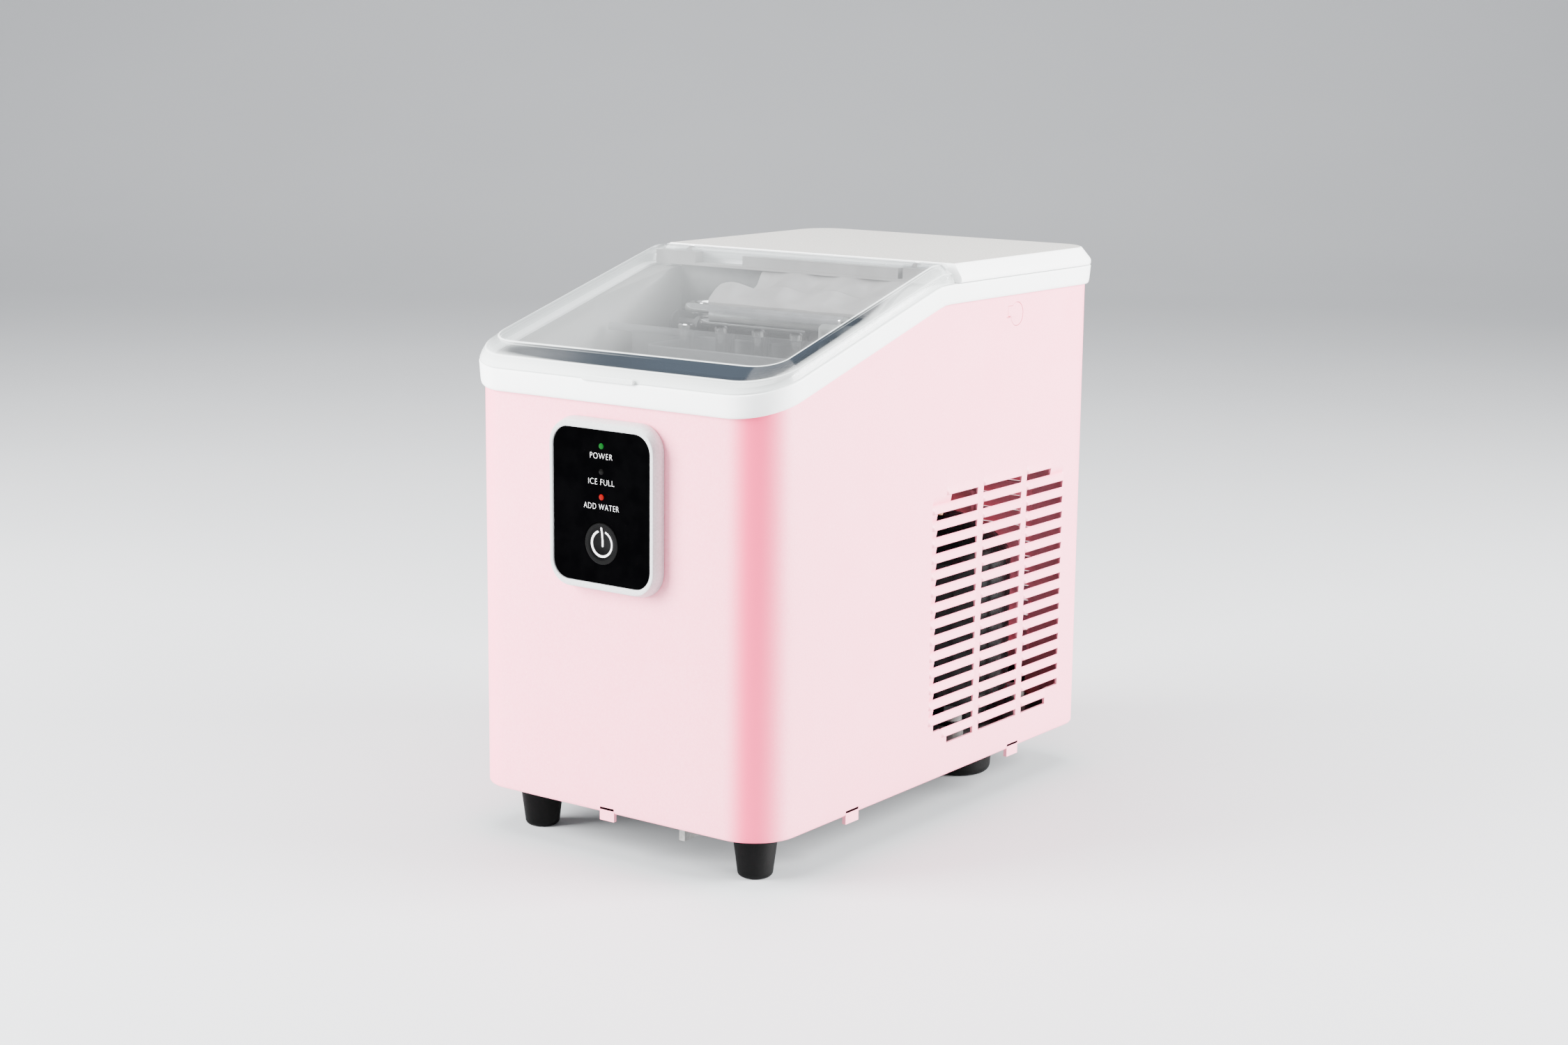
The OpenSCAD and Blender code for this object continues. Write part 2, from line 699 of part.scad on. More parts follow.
module fan_shroud() color(black) difference() {
    block([-64, 4, 50], [-36, 144, 198]);
    bar_x(-62, -30, fan_y, fan_z, 64);
    bar_x(-70, -50, fan_y, fan_z, 58);
}

module fan_motor() color(steel) difference() {
    union() {
        bar_x(-36, -14, fan_y, fan_z, 16);
        block([-36, fan_y - 5, 50], [-33, fan_y + 5, 198]);
        block([-36, 4, fan_z - 5], [-33, 144, fan_z + 5]);
    }
    bar_x(-40, -20, fan_y, fan_z, 2 + pin_play);
}

module fan_wheel() color("#3A3D40") {
    bar_x(-56, -40, fan_y, fan_z, 17);
    bar_x(-40, -22, fan_y, fan_z, 2);
    for (a = [0 : 60 : 300]) translate([-48, fan_y, fan_z]) rotate([a, 0, 0]) rotate([0, 0, 32])
        block([-1, -13, 14], [1, 13, 55]);
}

module filter_drier() color(copper) {
    translate([-6, 158, 100]) cylinder(h = 60, r = 8);
    for (z = [94, 160]) translate([-6, 158, z]) cylinder(h = 6, r = 4);
}

module hot_gas_valve() color("#8A5A3A") {
    translate([64, 150, 215]) cylinder(h = 22, r = 7);
    block([52, 138, 237], [76, 162, 262]);
}

module discharge_pipe() color(copper) pipe([
    [comp_x - 20, comp_y + 30, 163.6], [comp_x - 20, comp_y + 30, 206], [-75, comp_y + 30, 206],
    [-75, 152, 206], [-75, 152, 188], [-75, 147.2, 188]], 2.8);

module suction_pipe() color(copper) pipe([
    [tail_x[1], 66, evap_z], [tail_x[1], 82, evap_z], [tail_x[1], 82, 173.4]], 3.2);

// ---------------------------------------------------------------- one line for each node

body_shell();
rear_panel();
rear_panel_screws();
base_pan();
base_screws();
foot_front_left();
foot_front_right();
foot_rear_left();
foot_rear_right();
side_plug_left();
side_plug_right();
cord_bush();
top_frame();
rear_cover();
hinge_rail();
hinge_pins();
lid();
control_bezel();
control_window();
power_led();
ice_full_led();
add_water_led();
power_button();
control_board();
main_board();
bin_liner();
side_insulation();
drain_spout();
drain_plug();
ice_chute();
ice_basket();
ice_scoop();
ice_sensors();
evaporator();
evaporator_cover();
water_tray();
tray_bushes();
tray_motor();
ice_shovel();
pump_body();
pump_impeller();
pump_hose();
compressor();
compressor_feet();
compressor_bolts();
condenser();
fan_shroud();
fan_motor();
fan_wheel();
filter_drier();
hot_gas_valve();
discharge_pipe();
suction_pipe();
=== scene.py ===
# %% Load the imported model
import math

import bmesh
import bpy
import numpy as np
from mathutils import Matrix, Vector


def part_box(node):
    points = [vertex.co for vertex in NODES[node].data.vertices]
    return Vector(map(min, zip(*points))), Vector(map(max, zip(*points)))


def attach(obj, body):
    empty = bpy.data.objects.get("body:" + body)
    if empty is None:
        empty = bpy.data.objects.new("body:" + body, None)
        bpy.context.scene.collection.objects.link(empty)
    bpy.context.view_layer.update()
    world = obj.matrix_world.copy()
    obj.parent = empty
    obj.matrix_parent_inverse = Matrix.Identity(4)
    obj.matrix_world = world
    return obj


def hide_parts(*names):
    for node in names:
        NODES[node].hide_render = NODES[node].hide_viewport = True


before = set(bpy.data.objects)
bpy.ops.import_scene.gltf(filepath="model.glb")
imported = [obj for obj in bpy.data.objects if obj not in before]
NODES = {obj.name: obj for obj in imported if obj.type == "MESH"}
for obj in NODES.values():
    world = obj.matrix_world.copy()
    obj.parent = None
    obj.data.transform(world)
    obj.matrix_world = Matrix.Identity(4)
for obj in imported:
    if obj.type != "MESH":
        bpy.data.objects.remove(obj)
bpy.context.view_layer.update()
MM = 0.001

# %% [markdown]
# ## What is built
# The object is a countertop ice maker: a pale pink casing with louvred sides, a white rim with a
# clear sloping lid, a grey cover over the works, and a small black control panel in front.
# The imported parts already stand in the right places. Pieces whose shape matters to the eye are
# made again here as finer surfaces, and the rest keep their shape and get a better finish.

# %% [markdown]
# ## Camera
# A camera points along its own -Z axis. Its place is worked out first, then its turn is given as
# three perpendicular directions, which is easier to check than three angles.

# %% Camera
def away(azimuth, elevation):
    """Direction from the object towards azimuth (0 is the front, 90 the right-hand side) and
    elevation, both in degrees."""
    az, el = math.radians(azimuth), math.radians(elevation)
    return Vector((math.sin(az) * math.cos(el), -math.cos(az) * math.cos(el), math.sin(el)))


def stand(name, data):
    """Puts data, such as a mesh, a camera or a lamp, into the scene as a new object."""
    piece = bpy.data.objects.new(name, data)
    bpy.context.scene.collection.objects.link(piece)
    return piece


def add_camera(place, azimuth, elevation, roll, lens):
    """Camera whose back faces azimuth and elevation, tilted by roll; the three columns of its
    turn are its right, up and back directions."""
    back = away(azimuth, elevation)
    right = (-back).cross(Vector((0, 0, 1))).normalized()
    up = back.cross(right)
    ro = math.radians(roll)
    tilted = right * math.cos(ro) + up * math.sin(ro)
    turn = Matrix((tilted, back.cross(tilted), back)).transposed()
    data = bpy.data.cameras.new("camera")
    data.lens = lens
    data.sensor_width = 36
    camera = stand("camera", data)
    camera.matrix_world = Matrix.Translation(place) @ turn.to_4x4()
    bpy.context.scene.camera = camera
    return camera


camera_place = (0.92933, -1.29438, 0.48349)
camera = add_camera(camera_place, azimuth=35.91, elevation=11.005, roll=0.607, lens=59.87)
print("camera distance", round(camera.location.length, 2), "m")

# %% [markdown]
# ## Shader maths
# A finish is written as sums and products of values that vary over a surface. Each operator adds
# one Math node, so the formula in the code is the formula in the node tree. Everything else goes
# through one method that adds a node of a given type.

# %% Shader helpers
class Term:
    """One socket of a finish. Arithmetic on it adds a Math node and gives the next Term."""

    def __init__(self, finish, socket):
        self.finish, self.socket = finish, socket

    def maths(self, operation, *values):
        return self.finish.node("ShaderNodeMath", dict(operation=operation), *values)

    def __add__(self, other):
        return self.maths("ADD", self, other)

    def __radd__(self, other):
        return self.maths("ADD", other, self)

    def __sub__(self, other):
        return self.maths("SUBTRACT", self, other)

    def __rsub__(self, other):
        return self.maths("SUBTRACT", other, self)

    def __mul__(self, other):
        return self.maths("MULTIPLY", self, other)

    def __rmul__(self, other):
        return self.maths("MULTIPLY", other, self)

    def __truediv__(self, other):
        return self.maths("DIVIDE", self, other)

    def __pow__(self, other):
        return self.maths("POWER", self, other)

    def __gt__(self, other):
        return self.maths("GREATER_THAN", self, other)

    def __abs__(self):
        return self.maths("ABSOLUTE", self)

    def sine(self):
        return self.maths("SINE", self)

    def clamp(self):
        return self.finish.node("ShaderNodeClamp", {}, self, 0.0, 1.0)

    def ramp(self, low, high):
        """0 where the value is low, 1 where it is high, and a smooth rise between."""
        return self.finish.node(
            "ShaderNodeMapRange", dict(interpolation_type="SMOOTHSTEP"), self, low, high, 0.0, 1.0
        )


class Finish:
    """A material with one Principled shader. Constants go straight onto the shader's sockets."""

    def __init__(self, name, colour=(0.8, 0.8, 0.8), roughness=0.5, metallic=0.0, **sockets):
        self.material = bpy.data.materials.new(name)
        self.material.use_nodes = True
        self.tree = self.material.node_tree
        self.shader = self.tree.nodes["Principled BSDF"]
        self.output = self.tree.nodes["Material Output"]
        self.set("Base Color", (*colour, 1.0))
        self.set("Roughness", roughness)
        self.set("Metallic", metallic)
        for key, value in sockets.items():
            self.set(key.replace("_", " "), value)

    def put(self, socket, value):
        if isinstance(value, Term):
            self.tree.links.new(value.socket, socket)
        else:
            socket.default_value = value

    def set(self, socket, value):
        self.put(self.shader.inputs[socket], value)

    def node(self, kind, settings, *values, out=0, **named):
        """Adds a node: settings first, then its sockets in order or by name; gives output out."""
        node = self.tree.nodes.new(kind)
        for key, value in settings.items():
            setattr(node, key, value)
        for socket, value in zip(node.inputs, values):
            if value is not None:
                self.put(socket, value)
        for key, value in named.items():
            self.put(node.inputs[key.replace("_", " ")], value)
        return Term(self, node.outputs[out])

    def place(self):
        """Object coordinates in metres, as three values."""
        point = self.node("ShaderNodeTexCoord", {}, out=3)
        parts = self.tree.nodes.new("ShaderNodeSeparateXYZ")
        self.tree.links.new(point.socket, parts.inputs[0])
        return [Term(self, s) for s in parts.outputs]

    def noise(self, size, detail=2.0, stretch=(1, 1, 1)):
        """Soft noise from 0 to 1 whose blotches are about size across, in metres."""
        point = self.node("ShaderNodeTexCoord", {}, out=3)
        scale = tuple(1.0 / (size * s) for s in stretch)
        spread = self.node("ShaderNodeMapping", {}, point, (0, 0, 0), (0, 0, 0), scale)
        return self.node(
            "ShaderNodeTexNoise", {}, Vector=spread, Scale=1.0, Detail=detail, Roughness=0.5
        )

    def attribute(self, name):
        return self.node("ShaderNodeAttribute", dict(attribute_name=name), out=2)

    def mix(self, factor, a, b):
        """Colour a where factor is 0 and colour b where it is 1."""
        node = self.tree.nodes.new("ShaderNodeMix")
        node.data_type = "RGBA"
        self.put(node.inputs[0], factor)
        self.put(node.inputs[6], a if isinstance(a, Term) else (*a, 1.0))
        self.put(node.inputs[7], b if isinstance(b, Term) else (*b, 1.0))
        return Term(self, node.outputs[2])

    def bump(self, height, distance):
        """Raises the shading by height times distance, in metres."""
        raised = self.node("ShaderNodeBump", {}, Strength=1.0, Distance=distance, Height=height)
        self.set("Normal", raised)

# %% [markdown]
# ## Finishes
# The casing is moulded plastic sprayed pale pink with a fine pearl fleck. The fleck is a noise a
# fraction of a millimetre across, too fine to see as a pattern but enough to break up the gloss.

# %% Pink and white finishes
# the deep pink is painted shade, used on the corners and in the louvre hollows
PINK_SHADE = (0.93, 0.055, 0.18)
PINK_MID = (0.92, 0.29, 0.39)
PINK_PALE = (0.95, 0.34, 0.44)


def pink_finish():
    """Pale pink with a fine fleck. Painted shade deepens the pink on the round upright corners,
    most on the front right one, and in the hollow of each louvre, which its mesh marks as dip."""
    f = Finish("pearl_pink", roughness=0.36, Coat_Weight=0.1, Coat_Roughness=0.3)
    fleck = f.noise(0.0011, detail=3.0)
    cloud = f.noise(0.03, detail=2.0)
    x, y, _ = f.place()
    # painted shade on the round upright corners, strongest on the front right one
    corner = abs(x).ramp(0.080, 0.096) * abs(y).ramp(0.154, 0.173)
    corner = corner * (0.2 + 0.8 * (x - y).ramp(0.12, 0.22))
    tone = (fleck * 0.8 + cloud * 0.2).ramp(0.35, 0.65)
    pale = f.mix(tone, PINK_MID, PINK_PALE)
    # painted shade in each louvre's hollow, deeper where the mesh is pushed further in
    dip = f.attribute("dip").ramp(0.0, 0.8) * 0.4
    f.set("Base Color", f.mix((corner + dip).clamp(), pale, PINK_SHADE))
    f.set("Roughness", 0.30 + fleck * 0.16)
    f.bump(f.noise(0.0009, detail=1.0), 0.00002)
    return f.material


def white_finish():
    f = Finish("satin_white", roughness=0.32)
    soil = f.noise(0.02, detail=3.0)
    f.set("Base Color", f.mix(soil, (0.78, 0.80, 0.795), (0.83, 0.845, 0.84)))
    f.set("Roughness", 0.26 + soil * 0.14)
    f.bump(f.noise(0.0015, detail=1.0), 0.00002)
    return f.material


def cover_finish(top):
    """White sloping edges, and above the height top a fine-grained flat, painted darker beige-grey as the
    shade of light grazing across it.
    """
    f = Finish("cover_white_and_shaded_grain", roughness=0.4)
    z = f.place()[2]
    flat = z > top
    grain = f.noise(0.0011, detail=2.0)
    # painted shade: the flat top is darker than the white edges of the same moulding; its fine grain is real
    shaded_grain = f.mix(grain.ramp(0.35, 0.65), (0.27, 0.262, 0.245), (0.37, 0.36, 0.34))
    f.set("Base Color", f.mix(flat, (0.81, 0.82, 0.815), shaded_grain))
    f.set("Roughness", 0.3 + flat * 0.28)
    f.bump(grain * flat, 0.00012)
    return f.material


pink = pink_finish()
white = white_finish()
print("finishes:", pink.name, white.name)

# %% [markdown]
# Grey, black and clear plastics, rubber, metals and lamps. Each one has its own small variation in
# gloss or height, because a perfectly even surface looks like a drawing.

# %% Finishes of one material each
def plain_finish(
    name, dark, light, rough=(0.35, 0.5), size=0.004, lift=0.00003, metallic=0.0, **more
):
    """Two close colours blended by a soft noise, which also varies the gloss and the height."""
    f = Finish(name, metallic=metallic, **more)
    tone = f.noise(size, detail=3.0)
    f.set("Base Color", f.mix(tone.ramp(0.3, 0.7), dark, light))
    f.set("Roughness", rough[0] + tone * (rough[1] - rough[0]))
    f.bump(f.noise(size * 0.3, detail=2.0), lift)
    return f.material


def liner_finish():
    f = Finish("warm_grey_liner", roughness=0.42)
    tone = f.noise(0.05, detail=2.0)
    f.set("Base Color", f.mix(tone, (0.155, 0.155, 0.149), (0.195, 0.195, 0.188)))
    f.set("Roughness", 0.34 + tone * 0.16)
    f.bump(f.noise(0.0016, detail=2.0), 0.00003)
    return f.material


def board_finish():
    """Green lacquer over copper tracks: a grid of thin lines broken up by noise."""
    f = Finish("circuit_board", roughness=0.35)
    x, y, z = f.place()
    track = ((y * 900.0).sine() * (z * 900.0 + x * 700.0).sine()).ramp(0.5, 0.7)
    gap = f.noise(0.006, detail=1.0).ramp(0.42, 0.5)
    f.set("Base Color", f.mix(track * gap, (0.02, 0.12, 0.05), (0.10, 0.30, 0.12)))
    f.bump(track * gap, 0.00005)
    return f.material


def fins_finish():
    """Thin aluminium fins, brushed upright."""
    f = Finish("aluminium_fins", metallic=1.0)
    brush = f.noise(0.002, detail=2.0, stretch=(1, 1, 12))
    f.set("Base Color", f.mix(brush, (0.55, 0.56, 0.57), (0.75, 0.76, 0.77)))
    f.set("Roughness", 0.28 + brush * 0.2)
    f.bump(brush, 0.00004)
    return f.material


def copper_finish():
    f = Finish("copper_tube", metallic=1.0)
    tarnish = f.noise(0.012, detail=4.0).ramp(0.45, 0.75)
    f.set("Base Color", f.mix(tarnish, (0.78, 0.36, 0.20), (0.40, 0.17, 0.09)))
    f.set("Roughness", 0.2 + tarnish * 0.3)
    return f.material


def lamp_finish(name, colour, glow):
    f = Finish(name, colour=colour, roughness=0.3, Specular_IOR_Level=0.05)
    spark = f.noise(0.0008, detail=1.0)
    f.set("Emission Color", f.mix(spark, colour, tuple(c * 0.7 for c in colour)))
    f.set("Emission Strength", glow)
    return f.material


liner_grey = liner_finish()
board = board_finish()
fins = fins_finish()
copper = copper_finish()
print("special finishes:", liner_grey.name, board.name, fins.name, copper.name)

# %% [markdown]
# Most other parts differ only in their two close colours, their gloss and the scale of their
# grain, so one function makes them all. A black part on a bright floor reflects a lot of light:
# its colours are very dark and its mirror-like share is kept low, or it would look grey.

# %% Plastics
silver = plain_finish(
    "silver_bezel", (0.44, 0.45, 0.455), (0.52, 0.53, 0.535), (0.26, 0.36), 0.0012, metallic=0.25
)
grey_plastic = plain_finish("grey_plastic", (0.11, 0.113, 0.113), (0.14, 0.143, 0.143))
pale_plastic = plain_finish("pale_plastic", (0.085, 0.086, 0.085), (0.11, 0.112, 0.11))
hood_grey = plain_finish(
    "hood_grey", (0.175, 0.17, 0.165), (0.215, 0.21, 0.205), (0.3, 0.4), 0.02
)
amber = plain_finish("amber_plastic", (0.55, 0.26, 0.02), (0.75, 0.42, 0.04), (0.25, 0.4))
# painted shade: the clear hose is painted dark grey, as the shade deep inside the machine
hose = plain_finish(
    "clear_hose", (0.10, 0.105, 0.10), (0.14, 0.145, 0.14), (0.12, 0.25), 0.006
)
print_white = plain_finish(
    "print_white", (0.62, 0.62, 0.62), (0.70, 0.70, 0.70), (0.5, 0.6), 0.001, 0.0
)
foam = plain_finish(
    "foam", (0.60, 0.59, 0.54), (0.80, 0.79, 0.74), (0.85, 0.95), 0.0015, 0.0006
)
grey_rubber = plain_finish(
    "grey_rubber", (0.20, 0.20, 0.19), (0.28, 0.28, 0.27), (0.55, 0.7), 0.002, 0.0001
)

# %% Blacks
gloss_black = plain_finish(
    "gloss_black", (0.0004, 0.0004, 0.0005), (0.0007, 0.0007, 0.0008), (0.12, 0.2), 0.01, 0.0,
    Specular_IOR_Level=0.0,
)
button_black = plain_finish(
    "button_black", (0.0008, 0.0008, 0.0008), (0.0014, 0.0014, 0.0014), (0.25, 0.35), 0.004, 0.0,
    Specular_IOR_Level=0.06,
)
rubber = plain_finish(
    "black_rubber", (0.0006, 0.0006, 0.0006), (0.0014, 0.0014, 0.0014), (0.5, 0.7), 0.003, 0.0001,
    Specular_IOR_Level=0.12,
)
black_plastic = plain_finish(
    "black_plastic", (0.003, 0.003, 0.0033), (0.007, 0.007, 0.0075), (0.4, 0.6), 0.002, 0.0001,
    Specular_IOR_Level=0.15,
)
black_paint = plain_finish(
    "black_paint", (0.002, 0.002, 0.0022), (0.004, 0.004, 0.0044), (0.2, 0.35), 0.006,
    Specular_IOR_Level=0.15,
)

# %% Metals and lamps
steel = plain_finish(
    "zinc_steel", (0.50, 0.51, 0.53), (0.66, 0.67, 0.69), (0.25, 0.45), 0.003, metallic=1.0
)
nickel = plain_finish(
    "nickel_plate", (0.70, 0.70, 0.69), (0.82, 0.82, 0.81), (0.10, 0.20), 0.008, 0.00002, 1.0
)
brass = plain_finish(
    "brass", (0.55, 0.38, 0.14), (0.70, 0.50, 0.20), (0.25, 0.4), 0.004, metallic=1.0
)
green_lamp = lamp_finish("green_lamp", (0.0, 0.03, 0.003), 4.0)
red_lamp = lamp_finish("red_lamp", (0.06, 0.0, 0.0), 9.0)
dark_lamp = lamp_finish("dark_lamp", (0.0014, 0.0014, 0.0012), 0.0)
print("materials so far:", len(bpy.data.materials))

# %% [markdown]
# The clear lid is thin, so what is behind it hardly bends. Its finish lets light straight through
# and mirrors more of the room the more steeply it is seen. The moulded edges, marked on the
# mesh by the attribute "edge", carry a painted highlight where thick clear plastic catches the light.

# %% Clear plastic
def clear_finish(name, highlight_tint, shade_band, veil):
    """A see-through shader mixed with a mirror by how steeply it is seen, and with a solid shader
    by two marks on the mesh, edge for a painted highlight and the other for a painted band of shade,
    and by a painted white reflection of strength veil that grows towards the left."""
    f = Finish(name, roughness=0.12, Specular_IOR_Level=0.12)
    dark = f.attribute("shade_band")
    haze = f.noise(0.02, detail=3.0)
    x, _, _ = f.place()
    # painted reflection: a white veil of the room on the clear plastic, stronger towards the left
    reflection_veil = veil * (0.25 + 1.6 * x.ramp(0.035, -0.075))
    highlight_share = f.attribute("edge") * 0.9 + reflection_veil + haze * 0.004
    f.set("Base Color", f.mix((dark * 2.5 / (dark + highlight_share)).clamp(), highlight_tint, shade_band))
    f.set("Roughness", 0.08 + haze * 0.08)
    facing = f.node("ShaderNodeLayerWeight", {}, 0.5, out=1)
    shine = 0.04 + 0.96 * facing**5.0
    through = f.node("ShaderNodeBsdfTransparent", {}, (0.97, 0.975, 0.98, 1.0))
    mirror = f.node("ShaderNodeBsdfAnisotropic", {}, (0.8, 0.8, 0.8, 1), 0.12)
    pane = f.node("ShaderNodeMixShader", {}, shine, through, mirror)
    share = (highlight_share + dark * 0.92).clamp()
    whole = f.node("ShaderNodeMixShader", {}, share, pane, Term(f, f.shader.outputs[0]))
    f.tree.links.new(whole.socket, f.output.inputs["Surface"])
    return f.material


clear = clear_finish("clear_plastic", (0.62, 0.65, 0.64), (0.013, 0.017, 0.022), 0.035)
soft_clear = clear_finish("milky_clear", (0.22, 0.225, 0.225), (0.1, 0.1, 0.1), 0.12)
print("clear finish:", clear.name)

# %% [markdown]
# ## Surfaces from grids
# Every new piece is one or more grids of points: one direction runs round the piece, the other
# runs across its profile. numpy works out all the points at once, and each square of four
# neighbours becomes a face. Squares can be left out to make openings.

# %% Grid helpers
WELD, NO_LENGTH = 2e-5, 1e-7


def sheet(points, wrap_u=False, wrap_v=False, keep=None):
    """Faces of a grid of points (u, v, 3): square (i, j) joins points i, i+1 and j, j+1. A wrapped
    direction joins its last row to its first. Squares where keep is False are left out."""
    nu, nv = points.shape[:2]
    i = np.arange(nu if wrap_u else nu - 1)
    j = np.arange(nv if wrap_v else nv - 1)
    a, b = np.meshgrid(i, j, indexing="ij")
    a2, b2 = (a + 1) % nu, (b + 1) % nv
    quads = np.stack([a * nv + b, a2 * nv + b, a2 * nv + b2, a * nv + b2], -1)
    if keep is not None:
        quads = quads[keep]
    return points.reshape(-1, 3), quads.reshape(-1, 4).tolist()


def cap(points, flip=False):
    """One flat face round a closed loop of points (n, 3)."""
    ring = list(range(len(points)))
    return points, [ring[::-1] if flip else ring]


def make(name, parts, material, body, replaces=(), crease=32, marks=None):
    """Joins grids into one mesh, closes its seams, and rides it on a body. Points are in mm.
    Faces meeting at more than crease degrees keep a sharp edge."""
    points, faces = [], []
    for co, polys in parts:
        shift = sum(len(p) for p in points)
        points.append(co)
        faces += [[k + shift for k in poly] for poly in polys]
    mesh = bpy.data.meshes.new(name)
    mesh.from_pydata(np.concatenate(points) * MM, [], faces)
    for key, values in (marks or {}).items():
        mark = mesh.attributes.new(key, "FLOAT", "POINT")
        mark.data.foreach_set("value", np.concatenate(values).astype(np.float32))
    work = bmesh.new()
    work.from_mesh(mesh)
    bmesh.ops.remove_doubles(work, verts=work.verts, dist=WELD)
    bmesh.ops.dissolve_degenerate(work, edges=work.edges, dist=NO_LENGTH)
    work.to_mesh(mesh)
    work.free()
    mesh.validate()
    mesh.polygons.foreach_set("use_smooth", np.ones(len(mesh.polygons), bool))
    mesh.set_sharp_from_angle(angle=math.radians(crease))
    mesh.materials.append(material)
    piece = stand(name, mesh)
    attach(piece, body)
    if replaces:
        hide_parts(*replaces)
    print(name, len(mesh.polygons), "faces")
    return piece


def thicken(piece, thickness, bevel=0.0):
    """Gives a skin its wall, inwards, and rounds its sharp edges by bevel. Both are in mm."""
    solid = piece.modifiers.new("wall", "SOLIDIFY")
    solid.thickness = thickness * MM
    solid.offset = -1
    if bevel:
        round_off = piece.modifiers.new("round", "BEVEL")
        round_off.width = bevel * MM
        round_off.segments = 2
        round_off.limit_method = "ANGLE"
        round_off.angle_limit = math.radians(40)
        round_off.harden_normals = True

# %% [markdown]
# A track is a rounded rectangle seen from above. It is kept as points and outward directions, so
# the same track at any distance outwards is simply point plus distance times direction. Extra
# points can be asked for along the straight runs, where an opening or a bend needs a line.

# %% Tracks
CLEAR = 0.2


def track(x0, x1, y0, y1, radii, turns=12, ys=(), xs=()):
    """Points and outward directions round a rounded rectangle, from the middle of its front
    anticlockwise. radii are those of the front and the rear corners."""
    rf, rr = radii
    corners = (
        (x1 - rf, y0 + rf, rf, -90), (x1 - rr, y1 - rr, rr, 0),
        (x0 + rr, y1 - rr, rr, 90), (x0 + rf, y0 + rf, rf, 180),
    )
    base, way = [], []

    def within(places, low, high):
        """The places that lie on a straight run, clear of its two corners."""
        return np.array([p for p in sorted(places) if low + CLEAR < p < high - CLEAR], float)

    def run(px, py, direction):
        px, py = np.broadcast_arrays(px, py)
        base.append(np.stack([px, py], -1))
        way.append(np.broadcast_to(np.array(direction, float), base[-1].shape))

    runs_y = within(ys, y0 + rf, y1 - rr)
    front, rear = within(xs, x0 + rf, x1 - rf), within(xs, x0 + rr, x1 - rr)
    run(front[front >= 0], y0, (0, -1))
    for k, (cx, cy, r, start) in enumerate(corners):
        a = np.radians(np.linspace(start, start + 90, turns + 1))
        d = np.stack([np.cos(a), np.sin(a)], -1)
        base.append(np.array([cx, cy]) + r * d)
        way.append(d)
        if k == 0:
            run(x1, runs_y, (1, 0))
        elif k == 1:
            run(rear[::-1], y1, (0, 1))
        elif k == 2:
            run(x0, runs_y[::-1], (-1, 0))
    run(front[front < 0], y0, (0, -1))
    return np.concatenate(base), np.concatenate(way)


def carry(path, profile_g, heights):
    """Grid of a profile carried round a track: each point moves outwards by profile_g, which may
    differ along the track, and stands at its height. Rows run round, columns across."""
    base, way = path
    g = np.broadcast_to(profile_g, heights.shape)
    xy = base[:, None, :] + g[..., None] * way[:, None, :]
    return np.concatenate([xy, heights[..., None]], -1)


def least(a, b, soft):
    """The smaller of two values, with the corner between them rounded over about soft."""
    return 0.5 * (a + b - np.sqrt((a - b) ** 2 + soft**2))

# %% [markdown]
# ## Main sizes
# The casing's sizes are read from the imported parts. The top slopes down to the front at about 16
# degrees, so each line of the rim and lid is the lower of a sloping line and a level one.

# %% Main sizes
def size(node):
    """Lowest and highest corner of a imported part, in mm."""
    lo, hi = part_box(node)
    return [v / MM for v in lo], [v / MM for v in hi]


HALF_W, HALF_D, REAR_Z = size("body_shell")[1]
BASE_Z = size("rear_panel")[0][2]
SEAM_Z = size("hinge_rail")[0][2]
TOP_Z = size("rear_cover")[1][2]
FRONT_R, REAR_R = 28, 24
WALL = 2.4
SKIN = 1.5
RISE = math.tan(math.radians(15.9))
HINGE_Y, BARREL_R = 4, 3.7
HINGE_Z = TOP_Z - BARREL_R
COVER_Y = 8.1


RIM_LOW_MID, PARTING_MID, LID_TOP_MID, BEND = 319.6, 333.4, 343.4, 0.8


def rim_low(y):
    """Height of the rim's lower edge at the place y."""
    return least(RIM_LOW_MID + RISE * y, REAR_Z, BEND)


def parting(y):
    """Height of the line between the rim and the lid."""
    return least(PARTING_MID + RISE * y, SEAM_Z, BEND)


def lid_top(y):
    """Height of the lid's flat panel."""
    return least(LID_TOP_MID + RISE * y, TOP_Z, BEND)


def casing_track(turns, ys, xs=(-60, -30, 0, 30, 60)):
    """The casing's own outline, with points at the places ys and xs on its straight runs."""
    return track(-HALF_W, HALF_W, -HALF_D, HALF_D, (FRONT_R, REAR_R), turns, ys, xs)


print("casing", 2 * HALF_W, 2 * HALF_D, "seam at", round(SEAM_Z, 1), "top", round(TOP_Z, 1))

# %% [markdown]
# ## Casing
# The casing is one skin. Its grid has a line wherever a vent slot begins or ends, and the squares
# inside the slots are left out. The strips between slots are louvres: each leans out towards its
# lower edge, so its points are pushed in or out. Solidify then gives the skin its wall.

# %% Vent rows and columns
VENT_COLUMNS = ((-7.3, 38.0), (44.4, 89.5), (95.7, 140.8))
VENT_TOP, VENT_PITCH, SLOT_H, VENT_ROWS, SHORT, LEAD_IN = 203.6, 10.0, 4.6, 16, 15.3, 5.0
BLADE = np.array([0, 0.07, 0.2, 0.45, 0.7, 0.9, 1.0])
BLADE_OUT = np.array([0.75, 1.05, 1.0, 0.55, 0.0, -0.5, -0.8])
PLUG_Y, PLUG_Z, PLUG_R = 78.0, 305.7, 7.2
TONGUE_LONG, TONGUE_UP, TONGUE_DOWN = 10.4, 5.3, 1.1
PLUG_BOX = (64.0, 88.0, 294.0, 316.5)
REAR_OPENING = 84


def column_ends(c, row):
    """Where the slots of column c begin and end. The first and last rows are shorter."""
    a, b = VENT_COLUMNS[c]
    short = SHORT * (row in (0, VENT_ROWS - 1))
    return a + short * (c == 0), b - short * (c == 2)


